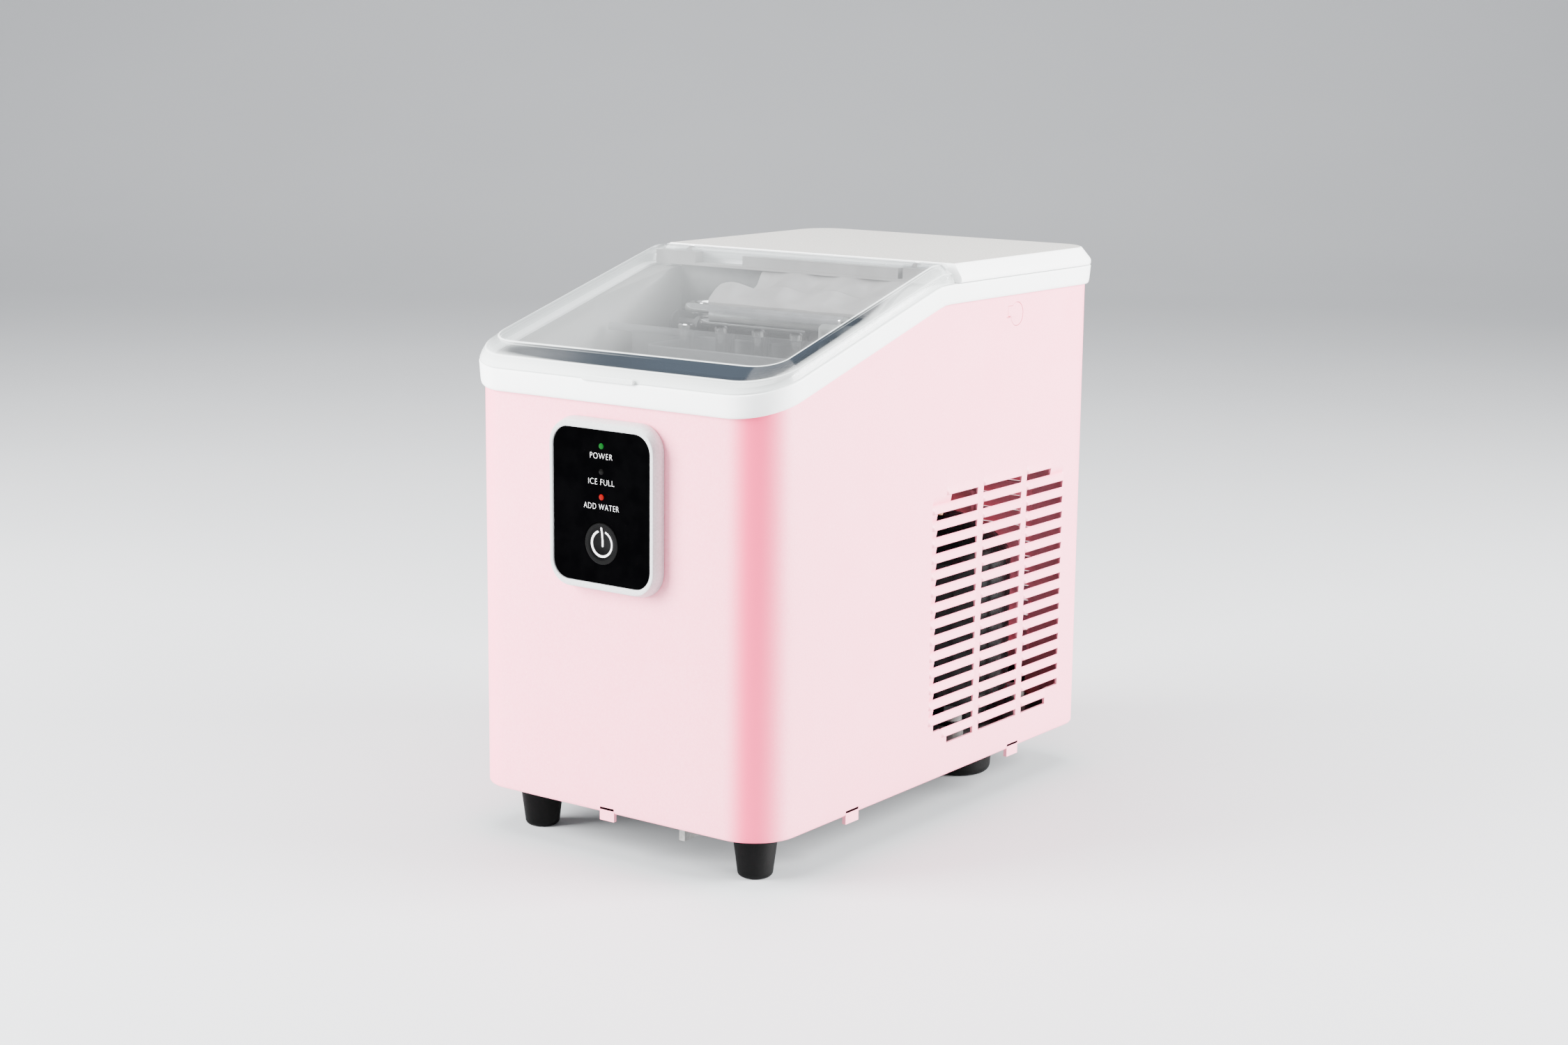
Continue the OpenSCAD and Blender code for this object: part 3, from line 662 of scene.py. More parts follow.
def vent_lines():
    """Places along the side where the casing needs a line: the ends of each column, the ends of
    the short rows, and a little before and after each."""
    first, last = VENT_COLUMNS[0][0], VENT_COLUMNS[2][1]
    ends = [e for c in VENT_COLUMNS for e in c] + [first + SHORT, last - SHORT]
    ends += [first - LEAD_IN, first + SHORT - LEAD_IN]
    near = np.array(ends)[:, None] + np.array([-1.4, -0.6, 0.0, 0.6, 1.4])
    return sorted(set(np.round(near.ravel(), 3)) | set(PLUG_BOX[:2]) | set(range(-140, 150, 20)))


def vent_share(y, row):
    """1 where a louvre of this row is at full height, 0 on the flat bars, ramped at the ends. The
    first column's louvres begin a little before their slots."""
    share = np.zeros_like(y)
    for c in range(len(VENT_COLUMNS)):
        a, b = column_ends(c, row)
        a -= LEAD_IN * (c == 0)
        share = np.maximum(share, np.clip(np.minimum(y - a + 0.6, b + 0.6 - y) / 1.2, 0, 1))
    return share


def casing_grid():
    """Height lines of the casing, lowest first, with the row and the outward push of each."""
    turned_in = ((0, -1.2), (0.25, -0.5), (0.8, -0.12), (1.6, 0), (8, 0))
    rows = [(BASE_Z + dz, None, push) for dz, push in turned_in]
    for row in range(VENT_ROWS - 1, -1, -1):
        top = VENT_TOP - VENT_PITCH * row
        rows.append((top - SLOT_H, row, 0.0 if row == VENT_ROWS - 1 else None))
        rows.append((top - 0.3, row, 0.0))
        flat_top = BLADE_OUT[3] * (1 - BLADE) / (1 - BLADE[3])
        out = BLADE_OUT if row else np.where(BLADE > 0.4, flat_top, BLADE_OUT)
        part = BLADE[: -1 if row else None]
        rows += [(top + t * (VENT_PITCH - SLOT_H), row, o) for t, o in zip(part, out)]
    return rows


print("casing has", len(casing_grid()), "height lines below its plain top")

# %% [markdown]
# The skin itself: the outline is carried up through all these heights, and the push moves each
# point out or in. The slots run only along the straight sides, so the corners stay smooth.

# %% Casing skin
def casing():
    """Grid of the outline by the height lines, its patches and tabs, and how far each point of
    the sides is pushed in, which the paint reads as dip and turns into painted shade."""
    ys = vent_lines()
    base, way = path = casing_track(14, ys, (-REAR_OPENING, -55, -28, 0, 28, 55, REAR_OPENING))
    side = np.abs(way[:, 0]) > 0.999
    y = base[:, 1]
    rows = casing_grid()
    z = np.array([r[0] for r in rows])
    push = np.zeros((len(y), len(rows)))
    for k, (_, row, out) in enumerate(rows):
        if row is None:
            push[:, k] = out
        else:
            owner = row if out is not None else row + 1
            push[:, k] = side * vent_share(y, owner) * (BLADE_OUT[-1] if out is None else out)
    upper = np.array([0.12, 0.3, 0.45, 0.6, 0, 0.85, 0, 1.0])
    top = rim_low(y) + 4
    span = REAR_Z + 4 - z[-1]
    upper[4], upper[6] = (PLUG_BOX[2] - z[-1]) / span, (PLUG_BOX[3] - z[-1]) / span
    above = z[-1] + (top - z[-1])[:, None] * upper
    heights = np.concatenate([np.broadcast_to(z, (len(y), len(z))), above], 1)
    push = np.concatenate([push, np.zeros((len(y), len(upper)))], 1)
    points = carry(path, push, heights)
    # the squares left out are the slots, the rear panel's opening and the side plugs' holes
    n = len(y)
    keep = np.ones((n, heights.shape[1] - 1), bool)
    mid = 0.5 * (y + np.roll(y, -1))
    straight = side & np.roll(side, -1)
    for k in range(len(rows) - 1):
        row = rows[k][1]
        if row is None or not -SLOT_H - 0.01 < rows[k][0] + row * VENT_PITCH - VENT_TOP < -0.01:
            continue
        for c in range(len(VENT_COLUMNS)):
            a, b = column_ends(c, row)
            keep[straight & (mid > a) & (mid < b), k] = False
    rear = (way[:, 1] > 0.999) & (np.roll(way[:, 1], -1) > 0.999)
    x_mid = 0.5 * (base[:, 0] + np.roll(base[:, 0], -1))
    keep[rear & (np.abs(x_mid) < REAR_OPENING)] = False
    first = len(rows) + 4
    inside = straight & (mid > PLUG_BOX[0]) & (mid < PLUG_BOX[1])
    keep[inside, first : first + 2] = False
    parts = [sheet(points, wrap_u=True, keep=keep)]
    # a patch round each side plug leads from the square hole to the keyed one
    for s in (-1, 1):
        lines = [v for v in sorted(ys) if PLUG_BOX[0] <= v <= PLUG_BOX[1]]
        zs = [PLUG_BOX[2], z[-1] + span * 0.85, PLUG_BOX[3]]
        hole = [(v, w) for v in lines for w in (zs[0], zs[2])] + [(v, zs[1]) for v in PLUG_BOX[:2]]
        parts.append(plug_patch(s, np.array(hole)))
    parts += [latch(s * HALF_W, a) for s in (-1, 1) for a in (-99, 80)] + [front_latch()]
    louvre_shade = [np.zeros(len(part[0])) for part in parts]
    # the push-in depth of the sides, which the pink finish paints as shade in the louvres
    louvre_shade[0] = (np.clip(-push, 0, 0.8) * side[:, None]).ravel()
    return parts, {"dip": louvre_shade}

# %% [markdown]
# Each side has a keyed opening for a plug: a circle with a square tongue. The casing's grid can
# only leave out squares, so a patch fills the ring between a square hole and the keyed outline.
# The tabs under the lower edge, which clip the casing to its base, are small plain blocks.

# %% Plug openings and tabs
def plug_outline(grow, n=168):
    """Keyed outline: a circle joined with a square tongue towards the front, by angle."""
    a = np.linspace(0, 2 * np.pi, n, endpoint=False)
    c, s = np.cos(a), np.sin(a)
    reach = (TONGUE_LONG + grow) / np.maximum(-c, 1e-6)
    sides = (np.where(s > 0, TONGUE_UP, TONGUE_DOWN) + grow) / np.maximum(np.abs(s), 1e-6)
    tongue = np.where(c < 0, np.minimum(reach, sides), 0)
    r = np.maximum(PLUG_R + grow, tongue)
    return np.stack([PLUG_Y + r * c, PLUG_Z + r * s], -1), a


def plug_patch(s, corners):
    """Grid from the keyed outline to the corners of the square hole round it: each point of the
    outline goes to the corner nearest in angle, so the patch meets the casing point for point."""
    inner, a = plug_outline(0.25)
    turn = np.arctan2(corners[:, 1] - PLUG_Z, corners[:, 0] - PLUG_Y)
    apart = np.abs(np.angle(np.exp(1j * (a[:, None] - turn[None, :]))))
    outer = corners[apart.argmin(1)]
    yz = np.stack([outer, inner] if s > 0 else [inner, outer], 1)
    grid = np.concatenate([np.full(yz.shape[:2] + (1,), s * HALF_W), yz], -1)
    return sheet(grid, wrap_u=True)


def slab(lo, hi):
    """A plain block as six faces, used only for small tabs and joined into a larger piece."""
    x, y, z = zip(lo, hi)
    co = np.array([(a, b, c) for a in x for b in y for c in z], float)
    return co, [[0, 1, 3, 2], [4, 6, 7, 5], [0, 4, 5, 1], [2, 3, 7, 6], [0, 2, 6, 4], [1, 5, 7, 3]]


def latch(x, y):
    """Tab under the casing's side."""
    inner = x - math.copysign(WALL, x)
    return slab((min(x, inner), y, BASE_Z - 5), (max(x, inner), y + 13, BASE_Z + 3))


def front_latch():
    """Tab under the middle of the front."""
    return slab((-8.5, -HALF_D, BASE_Z - 4.8), (2, -HALF_D + WALL, BASE_Z + 3))


casing_parts, casing_marks = casing()
shell = make("casing", casing_parts, pink, "cabinet", ["body_shell"], marks=casing_marks)
thicken(shell, SKIN, 0.25)

# %% [markdown]
# The rear panel closes the back. It is a flat sheet with three columns of slots, made in the same
# way: a grid with a line at each end of each slot, and the squares inside the slots left out. The
# blades lean inwards at the top and overlap a little, so one can't look through the machine.

# %% Rear panel
REAR_ROWS, REAR_TOP, REAR_LAP = 12, 181.8, 0.6
REAR_PITCH, REAR_HALF, REAR_RAMP = 46, 20.0, 0.6


def rear_panel():
    """Grid of x by z at the back face. Inside a column the blade is pushed in at its upper edge."""
    lo, hi = size("rear_panel")
    ends = np.array([c * REAR_PITCH + s * REAR_HALF for c in (-1, 0, 1) for s in (-1, 1)])
    near = ends[:, None] + np.array([-REAR_RAMP, 0, REAR_RAMP])
    xs = np.unique(np.concatenate([near.ravel(), np.linspace(lo[0], hi[0], 15)]))
    low = REAR_TOP - 10 * (REAR_ROWS - 1)
    zs, dip, lift = [lo[2], low - 6.0, low - 5.2], [0.0, 0.0, 0.0], [0.0, 0.0, 0.0]
    for row in range(REAR_ROWS - 1, -1, -1):
        top = REAR_TOP - 10 * row
        zs += [top - REAR_LAP, top, top + 0.8, top + 4.0]
        dip += [-3.2, 0.0, 0.3, 0.0]
        lift += [2 * REAR_LAP, 0.0, 0.0, 0.0]
    zs = np.array(zs + [REAR_TOP + 4.8, hi[2]])
    dip, lift = np.array(dip + [0.0, 0.0]), np.array(lift + [0.0, 0.0])

    def from_column(x):
        """Distance from the middle of the nearest column."""
        return np.abs(x - REAR_PITCH * np.clip(np.round(x / REAR_PITCH), -1, 1))

    share = np.clip((REAR_HALF + REAR_RAMP - from_column(xs)) / REAR_RAMP, 0, 1)
    x, z = np.meshgrid(xs, zs, indexing="ij")
    z += share[:, None] * lift
    y = hi[1] - 0.02 + share[:, None] * dip
    inside = from_column(0.5 * (xs[1:] + xs[:-1])) < REAR_HALF
    slot = np.zeros(len(zs) - 1, bool)
    slot[3:-2:4] = True
    keep = ~(inside[:, None] & slot[None, :])
    return [sheet(np.stack([x, y, z], -1)[::-1], keep=keep[::-1])]


back = make("rear_panel_louvred", rear_panel(), pink, "cabinet", ["rear_panel"])
thicken(back, SKIN, 0.2)

# %% [markdown]
# The plug in each side is flush with the casing. Its own rounded edge and the small gap round it
# show as a fine keyed line.

# %% Side plugs
def plug(s):
    """Keyed outline carried inwards: straight sides, then a small round into the flat face."""
    steps = ((0.0, WALL), (0.0, 0.5), (-0.12, 0.18), (-0.4, 0.0))
    rings = np.stack([plug_outline(g)[0] for g, _ in steps], 1)
    depth = np.array([s * (HALF_W - d) for _, d in steps])
    grid = np.concatenate([np.broadcast_to(depth[None, :, None], rings.shape[:2] + (1,)), rings], -1)
    if s < 0:
        grid = grid[::-1]
    return [sheet(grid, wrap_u=True), cap(grid[:, -1]), cap(grid[:, 0], True)]


for s, side in ((-1, "left"), (1, "right")):
    make("plug_" + side, plug(s), pink, "cabinet", ["side_plug_" + side])

# %% [markdown]
# ## Rim
# The white rim is a rounded band carried all round the top of the casing. Its profile is a closed
# loop, given by how far each point stands out and how far up the band it is.

# %% Rim
RIM_PROFILE = np.array(
    [(-1.0, 0.0, 0.6), (0.4, 0.0, 0.15), (1.1, 0.0, 0.0), (1.8, 0.0, 0.25), (2.3, 0.0, 0.9),
     (2.6, 0.0, 2.0), (3.0, 0.5, 0.0), (3.3, 1.0, -2.2), (3.4, 1.0, -1.3), (3.3, 1.0, -0.6),
     (2.9, 1.0, -0.25), (2.2, 1.0, -0.15), (-4.3, 1.0, -0.15), (-5.2, 1.0, -0.4),
     (-5.5, 1.0, -1.2), (-5.5, 0.0, 2.0), (-4.2, 0.0, 1.2), (-2.6, 0.0, 1.0)]
)


def rim():
    """The profile carried round the casing, and a flat bar across the machine under the hinge."""
    path = casing_track(18, [*range(-150, 155, 6), 1, 14])
    y = path[0][:, 1:2] + RIM_PROFILE[:, 0] * path[1][:, 1:2]
    low, high = rim_low(y), parting(y)
    heights = low + RIM_PROFILE[:, 1] * (high - low) + RIM_PROFILE[:, 2]
    bar = slab((-99, 1, REAR_Z), (99, 14, SEAM_Z - 0.3))
    return [sheet(carry(path, RIM_PROFILE[:, 0], heights), wrap_u=True, wrap_v=True), bar]


make("rim", rim(), white, "cabinet", ["top_frame"])

# %% [markdown]
# ## Rear cover
# The cover is a shallow cap: its outline is the casing's behind the hinge, closed by a straight
# front edge. Each row of the grid is one outline at one height. The top is a single flat face.

# %% Rear cover
COVER_PROFILE = np.array(
    [(2.4, 0.15), (3.0, 0.3), (3.35, 0.8), (3.4, 1.5), (3.4, 2.6), (3.2, 3.4), (2.7, 4.2),
     (-2.2, 10.2), (-2.9, 10.9), (-3.7, 11.22), (-4.6, 11.3)]
)


def rear_cover():
    """The part of the casing's outline behind COVER_Y, joined across the front. The front edge
    leans back by 25 degrees above the hinge."""
    base, way = casing_track(18, (COVER_Y, 40, 75, 110))
    back = np.flatnonzero(base[:, 1] > COVER_Y - 0.01)
    base, way = base[back], way[back]
    g, z = COVER_PROFILE[:, 0], SEAM_Z + COVER_PROFILE[:, 1]
    lean = COVER_Y + np.maximum(z - HINGE_Z + 1, 0) * math.tan(math.radians(25))
    xy = base[:, None, :] + g[None, :, None] * way[:, None, :]
    xy[[0, -1], :, 1] = lean
    across = np.linspace(-1, 1, 9)[1:-1]
    front_x = across[:, None] * (HALF_W + g)
    front = np.stack([front_x, np.broadcast_to(lean, front_x.shape)], -1)
    xy = np.concatenate([xy, front])
    points = np.concatenate([xy, np.broadcast_to(z, xy.shape[:2])[..., None]], -1)
    return [sheet(points, wrap_u=True), cap(points[:, -1]), cap(points[:, 0], True)]


cover_paint = cover_finish((TOP_Z - 0.22) * MM)
make("rear_cover_cap", rear_cover(), cover_paint, "cabinet", ["rear_cover"])

# %% [markdown]
# ## Lid
# The lid is one clear moulding: a skirt, a sloping shoulder and a flat panel. The grid runs from
# the skirt's lower edge up over the shoulder, and the panel's points then close in on the middle
# line. The shoulder is wider in front than at the sides, so each profile has two sets of
# distances, blended by which way the edge faces. Two values stored on the points steer the clear
# finish: edge marks the thick corners for a painted highlight, and the other a painted dark band
# of shade in the shoulder.

# %% Lid
LID_SIDE = np.array([3.3, 3.2, 2.4, 1.5, 1.1, 0.4, -1.3, -3.6, -5.2, -6.0, -6.8])
LID_FRONT = np.array([3.0, 2.8, 1.2, -1.5, -2.2, -3.2, -5.6, -9.2, -11.4, -12.4, -13.4])
LID_RISE = np.array([0.25, 0.9, 3.2, 5.0, 5.5, 5.9, 6.9, 8.5, 9.5, 9.9, 10.0])
# painted highlight strength on each ring of the lid's profile, at the sides and in front
EDGE_LIGHT_SIDE = np.array([0.6, 0.5, 0.35, 0.35, 0.8, 0.4, 0.3, 0.25, 0.2, 0.95, 0.03])
EDGE_LIGHT_FRONT = np.array([0.95, 0.95, 0.9, 0.75, 0.95, 0.35, 0.1, 0.1, 0.3, 0.95, 0.05])
# painted dark band of shade in the shoulder, strength on each ring at the sides and in front
SHADE_BAND_SIDE = np.array([0, 0, 0, 0, 0, 0, 0.1, 0.7, 1.0, 0, 0])
SHADE_BAND_FRONT = np.array([0, 0, 0, 0, 0, 0.5, 0.9, 0.9, 0.9, 0, 0])
PANEL_IN = np.array([0.97, 0.9, 0.6, 0.3, 0.0])


def lid():
    """Grid of the skirt, shoulder and panel. The track is turned so that it starts at one end of
    the hinge. Also gives the two marks of the clear finish: edge, a painted highlight, and a painted band of
    shade."""
    base, way = casing_track(20, [*range(-150, 0, 10), -12, -8, -4, 0.5])
    ahead = base[:, 1] <= 0.51
    start = np.flatnonzero(~ahead)[-1] + 1
    order = np.r_[start : len(base), 0 : np.flatnonzero(~ahead)[0]]
    base, way = base[order], way[order]
    forward = np.clip(-way[:, 1:2], 0, 1) ** 2
    g = LID_SIDE + (LID_FRONT - LID_SIDE) * forward
    xy = base[:, None, :] + g[..., None] * way[:, None, :]
    y = xy[..., 1]
    low, high = parting(y), lid_top(y)
    z = low + (high - low) * LID_RISE / 10
    edge_ring = xy[:, -1]
    goal_y = np.maximum(edge_ring[:, 1], -135.0)
    px = edge_ring[:, None, 0] * PANEL_IN
    py = edge_ring[:, 1:2] + (1 - PANEL_IN) * (goal_y - edge_ring[:, 1])[:, None]
    pz = lid_top(py)
    points = np.concatenate([np.stack([xy[..., 0], y, z], -1), np.stack([px, py, pz], -1)], 1)
    # the front's painted highlight weakens towards the right
    left = np.clip(0.7 - xy[..., 0] / 250, 0, 1)
    edge = EDGE_LIGHT_SIDE + (EDGE_LIGHT_FRONT - EDGE_LIGHT_SIDE) * forward * left
    # the painted shade band fades towards the left and towards the rear
    fade = np.clip((xy[..., 0] + 95) / 130, 0.06, 1) * np.clip((-55 - y) / 75, 0, 1)
    shade_band = (SHADE_BAND_SIDE + (SHADE_BAND_FRONT - SHADE_BAND_SIDE) * forward) * fade
    flat = np.zeros(px.shape)
    marks = {"edge": edge, "shade_band": shade_band}
    return points, {key: [np.concatenate([m, flat], 1).ravel()] for key, m in marks.items()}


lid_points, lid_marks = lid()
lid_piece = make("clear_lid", [sheet(lid_points)], clear, "lid", ["lid"], 12, lid_marks)
thicken(lid_piece, 2.0)


def barrel():
    """Round hinge edge of the lid, in three lengths that leave room for the two ears."""
    a = np.linspace(0, 2 * np.pi, 33)[:-1]
    parts, marks = [], []
    for x0, x1 in ((-104, -86.4), (-82.6, 82.6), (86.4, 104)):
        x = np.array([x0, x0 + 0.4, x1 - 0.4, x1])
        r = np.array([BARREL_R - 0.5, BARREL_R - 0.05, BARREL_R - 0.05, BARREL_R - 0.5])
        y, z = HINGE_Y + np.sin(a)[:, None] * r, HINGE_Z - np.cos(a)[:, None] * r
        grid = np.stack([np.broadcast_to(x, y.shape), y, z], -1)[::-1]
        parts += [sheet(grid, wrap_u=True), cap(grid[:, -1]), cap(grid[:, 0], True)]
        # painted highlight on the hinge barrel
        marks += [np.full(32 * 4, 0.35), np.full(32, 0.35), np.full(32, 0.35)]
    return parts, {"edge": marks}


barrel_parts, barrel_marks = barrel()
make("lid_barrel", barrel_parts, clear, "lid", (), 30, barrel_marks)

# %% [markdown]
# The lid is lifted by a small lip on its front skirt. The lip is a flat bar with rounded ends, and
# the bezel and the window have the same outline: one helper, a rounded rectangle that stands
# upright and is carried forwards in rings, makes them all.

# %% Finger lip
BEZEL_LO, BEZEL_HI = size("control_bezel")
PANEL_Z = 0.5 * (BEZEL_LO[2] + BEZEL_HI[2])


def tablet(half_w, half_h, radius, steps, turns=10, spacing=20):
    """Rounded rectangle standing in the XZ plane: steps give how far each ring is grown and its
    place along Y. Rings run so that the faces point forwards."""
    along = np.arange(-60, 60, spacing) + spacing / 2
    base, way = track(-half_w, half_w, -half_h, half_h, (radius, radius), turns, along, along)
    g, y = np.array(steps, float).T
    flat = base[:, None, :] + g[None, :, None] * way[:, None, :]
    return np.stack([flat[..., 0], np.broadcast_to(y, flat.shape[:2]), PANEL_Z + flat[..., 1]], -1)


LIP_X, LIP_HALF = 1.7, 19


def lip():
    """Finger lip: a bar with rounded ends in front of the skirt, with a neck into the skirt."""
    front, low = -HALF_D - 3.45, parting(-HALF_D)
    steps = [(-0.3, front), (0, front - 0.3), (0, front - 1.2), (-0.4, front - 1.6)]
    bar = tablet(LIP_HALF, 1.6, 1.5, steps)
    bar += np.array([LIP_X, 0, parting(-HALF_D - 3.4) + 1.1 - PANEL_Z])
    neck_lo = (LIP_X - LIP_HALF + 2, front - 0.4, low)
    neck = slab(neck_lo, (LIP_X + LIP_HALF - 2, front + 1.2, low + 0.9))
    parts = [sheet(bar, wrap_u=True), cap(bar[:, -1]), cap(bar[:, 0], True), neck]
    # painted highlight over the whole lip
    return parts, {"edge": [np.full(len(part[0]), 0.9) for part in parts]}


lip_parts, lip_marks = lip()
make("lid_lip", lip_parts, clear, "lid", (), 30, lip_marks)

# %% [markdown]
# ## Control panel
# The bezel is a silver frame with broad sloping sides. It is a rounded rectangle carried from the
# casing forwards and then inwards to the black window. The window is made with the same helper.

# %% Control panel
WINDOW_LO, WINDOW_HI = size("control_window")
BUTTON_LO, BUTTON_HI = size("power_button")
BUTTON_Z = 0.5 * (BUTTON_LO[2] + BUTTON_HI[2])
BUTTON_R = 0.5 * (BUTTON_HI[0] - BUTTON_LO[0])
BEZEL_R, WINDOW_R = 16, 11


def facing_disc(r, y, z, angles):
    """Disc that faces forwards, centred at the height z: a profile of radius r and place y along
    the axis, carried to each of the angles."""
    a = angles[:, None]
    return np.stack([r * np.cos(a), np.broadcast_to(y, (len(a), len(r))), z + r * np.sin(a)], -1)


def half_sizes(lo, hi):
    """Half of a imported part's width and half of its height."""
    return 0.5 * (hi[0] - lo[0]), 0.5 * (hi[2] - lo[2])


def bezel():
    """Outer rings follow the bezel's outline and inner rings the window's, point for point."""
    back, front = BEZEL_HI[1], BEZEL_LO[1]
    outer = [(-0.6, back), (0, back - 0.8), (0, back - 3.2), (-0.3, back - 4.0)]
    outer += [(-1.6, front + 0.5), (-1.85, front + 0.12), (-2.2, front)]
    inner = [(0.5, front), (0.15, front + 0.2), (0.1, front + 0.5), (0.1, front + 6.0)]
    frame_rings = tablet(*half_sizes(BEZEL_LO, BEZEL_HI), BEZEL_R, outer)
    window_rings = tablet(*half_sizes(WINDOW_LO, WINDOW_HI), WINDOW_R, inner)
    return [sheet(np.concatenate([frame_rings, window_rings], 1), wrap_u=True)]


def window():
    """Plate with a round hole for the button. Every point of the outer rings is joined to the
    point of the hole that lies in the same direction from the button's axis."""
    front = WINDOW_LO[1]
    steps = [(0.05, front + 3), (0.05, front + 0.4), (-0.15, front + 0.12), (-0.5, front), (-1.2, front)]
    outer = tablet(*half_sizes(WINDOW_LO, WINDOW_HI), WINDOW_R, steps, 16, 5)
    turn = np.arctan2(outer[:, -1, 2] - BUTTON_Z, outer[:, -1, 0])
    r = BUTTON_R + np.array([1.2, 0.5, 0.2, 0.2])
    inner = facing_disc(r, front + np.array([0, 0, 0.2, 3]), BUTTON_Z, turn)
    return [sheet(np.concatenate([outer, inner], 1), wrap_u=True)]


make("bezel", bezel(), silver, "cabinet", ["control_bezel"])
make("window", window(), gloss_black, "cabinet", ["control_window"])

# %% [markdown]
# The button is a turned disc, dished for the fingertip. Prints on it are strokes of even width
# with round ends, which follow the dish.

# %% Button
DISH_R, DISH_DEEP = 39.0, 1.2
BUTTON_FACE = BUTTON_LO[1]
PRINT = 0.04


def dish(r):
    """Place along Y of the button's face at radius r: a shallow ball surface inside a flat ring."""
    return BUTTON_FACE + np.maximum(np.sqrt(np.maximum(DISH_R**2 - r**2, 0)) - DISH_R + DISH_DEEP, 0)


def button():
    """Profile of radius and depth turned about the button's axis, from behind round to the dish."""
    face = np.array([9.6, 8.6, 7.0, 5.0, 3.0, 0.0])
    rim_r = BUTTON_R - np.array([BUTTON_R, 0.1, 0, 0, 0.15, 0.5])
    r = np.concatenate([rim_r, [9.9], face])
    y = np.concatenate([BUTTON_FACE + np.array([6, 6, 5.5, 0.5, 0.15, 0, 0]), dish(face)])
    angles = np.linspace(0, 2 * np.pi, 64, endpoint=False)
    return [sheet(facing_disc(r, y, BUTTON_Z, angles), wrap_u=True)]


def stroke(path, half):
    """Print of even width along a path (n, 2) on the button: two lines half a width either side,
    drawn together past both ends in a half circle."""
    step = np.gradient(path, axis=0)
    step /= np.linalg.norm(step, axis=1)[:, None]
    t = np.linspace(-1, 0, 7)[:-1]
    before, after = t[:, None] * half * step[:1], -t[::-1, None] * half * step[-1:]
    path = np.concatenate([path[:1] + before, path, path[-1:] + after])
    step = np.concatenate([np.repeat(step[:1], 6, 0), step, np.repeat(step[-1:], 6, 0)])
    wide = half * np.sqrt(1 - np.concatenate([t, np.zeros(len(path) - 12), t[::-1]]) ** 2)
    side = np.stack([-step[:, 1], step[:, 0]], -1)
    lines = np.array([1, 0, -1])[None, :, None]
    xz = path[:, None, :] + side[:, None, :] * wide[:, None, None] * lines
    y = dish(np.linalg.norm(xz, axis=-1)) - PRINT
    return sheet(np.stack([xz[..., 0], y, BUTTON_Z + xz[..., 1]], -1))

# %% [markdown]
# The power sign is a print on the dished face, so every point of its strokes is placed just in
# front of the dish at its own radius.

# %% Power sign
def power_sign():
    """A ring with a gap of 48 degrees at the top, and a bar that stands in the gap."""
    a = np.radians(np.linspace(90 + 24, 450 - 24, 72))
    ring = 7.27 * np.stack([np.cos(a), np.sin(a)], -1)
    bar = np.stack([np.zeros(12), np.linspace(9.0, -1.3, 12)], -1)
    return [stroke(ring[::-1], 0.62), stroke(bar, 0.62)]

# %% [markdown]
# The three words come from the built-in font. The text is made into a mesh first, because only a
# mesh's points can be moved, and each word is then scaled to its own width and height.

# %% Words
def words(name, text, z, width, high=3.3):
    """A word in the plain built-in font, stood up in front of the window and scaled to its size."""
    curve = bpy.data.curves.new(name, "FONT")
    curve.body = text
    curve.align_x = "CENTER"
    curve.align_y = "CENTER"
    curve.offset = -0.022
    curve.space_character = 1.12
    holder = stand(name, curve)
    bpy.context.view_layer.update()
    now = bpy.context.evaluated_depsgraph_get()
    mesh = bpy.data.meshes.new_from_object(holder.evaluated_get(now))
    bpy.data.objects.remove(holder)
    co = np.zeros(len(mesh.vertices) * 3)
    mesh.vertices.foreach_get("co", co)
    co = co.reshape(-1, 3)
    span = np.ptp(co[:, :2], axis=0)
    flat = (co[:, :2] - co[:, :2].min(0) - span / 2) * (width / span[0], high / span[1])
    polys = [list(p.vertices) for p in mesh.polygons]
    y = np.full(len(flat), WINDOW_LO[1] - PRINT)
    return np.stack([flat[:, 0], y, z + flat[:, 1]], -1), polys

# %% [markdown]
# Each indicator lamp is a small round dome, a turned profile like the button's.

# %% Indicator lamps
def lamp_dome(z):
    """Small round lens turned about its own axis: radius and place along Y, from the rim inwards."""
    r = np.array([1.75, 1.7, 1.4, 0.8, 0.0])
    y = WINDOW_LO[1] + np.array([0.3, -0.06, -0.2, -0.3, -0.33])
    grid = facing_disc(r, y, z, np.linspace(0, 2 * np.pi, 24, endpoint=False))
    return [sheet(grid, wrap_u=True), cap(grid[:, 0], True)]


LAMPS = {
    "power_led": (green_lamp, "green_lamp"),
    "ice_full_led": (dark_lamp, "dark_lamp"),
    "add_water_led": (red_lamp, "red_lamp"),
}
for node, (paint, slot) in LAMPS.items():
    lo, hi = size(node)
    make(node + "_lens", lamp_dome(0.5 * (lo[2] + hi[2])), paint, "cabinet", [node])
make(
    "power_button_dished", button(), button_black, "power_button",
    ["power_button"], 20,
)
make("power_sign", power_sign(), print_white, "power_button")
# name, word, height of its middle, width
LABELS = [
    ("label_power", "POWER", 239.7, 16.4),
    ("label_ice", "ICE FULL", 225.0, 18.8),
    ("label_water", "ADD WATER", 210.7, 25.6),
]
make("panel_words", [words(*label) for label in LABELS], print_white, "cabinet")

# %% [markdown]
# ## Feet
# Each foot is a turned rubber cone. A profile of radius and height is carried round a circle.

# %% Feet
def turned(x, y, profile, turns=48):
    """Surface of revolution about the upright line through (x, y)."""
    a = np.linspace(0, 2 * np.pi, turns, endpoint=False)
    r, z = np.array(profile, float).T
    xs, ys = x + np.cos(a)[:, None] * r, y + np.sin(a)[:, None] * r
    return np.stack([xs, ys, np.broadcast_to(z, xs.shape)], -1)


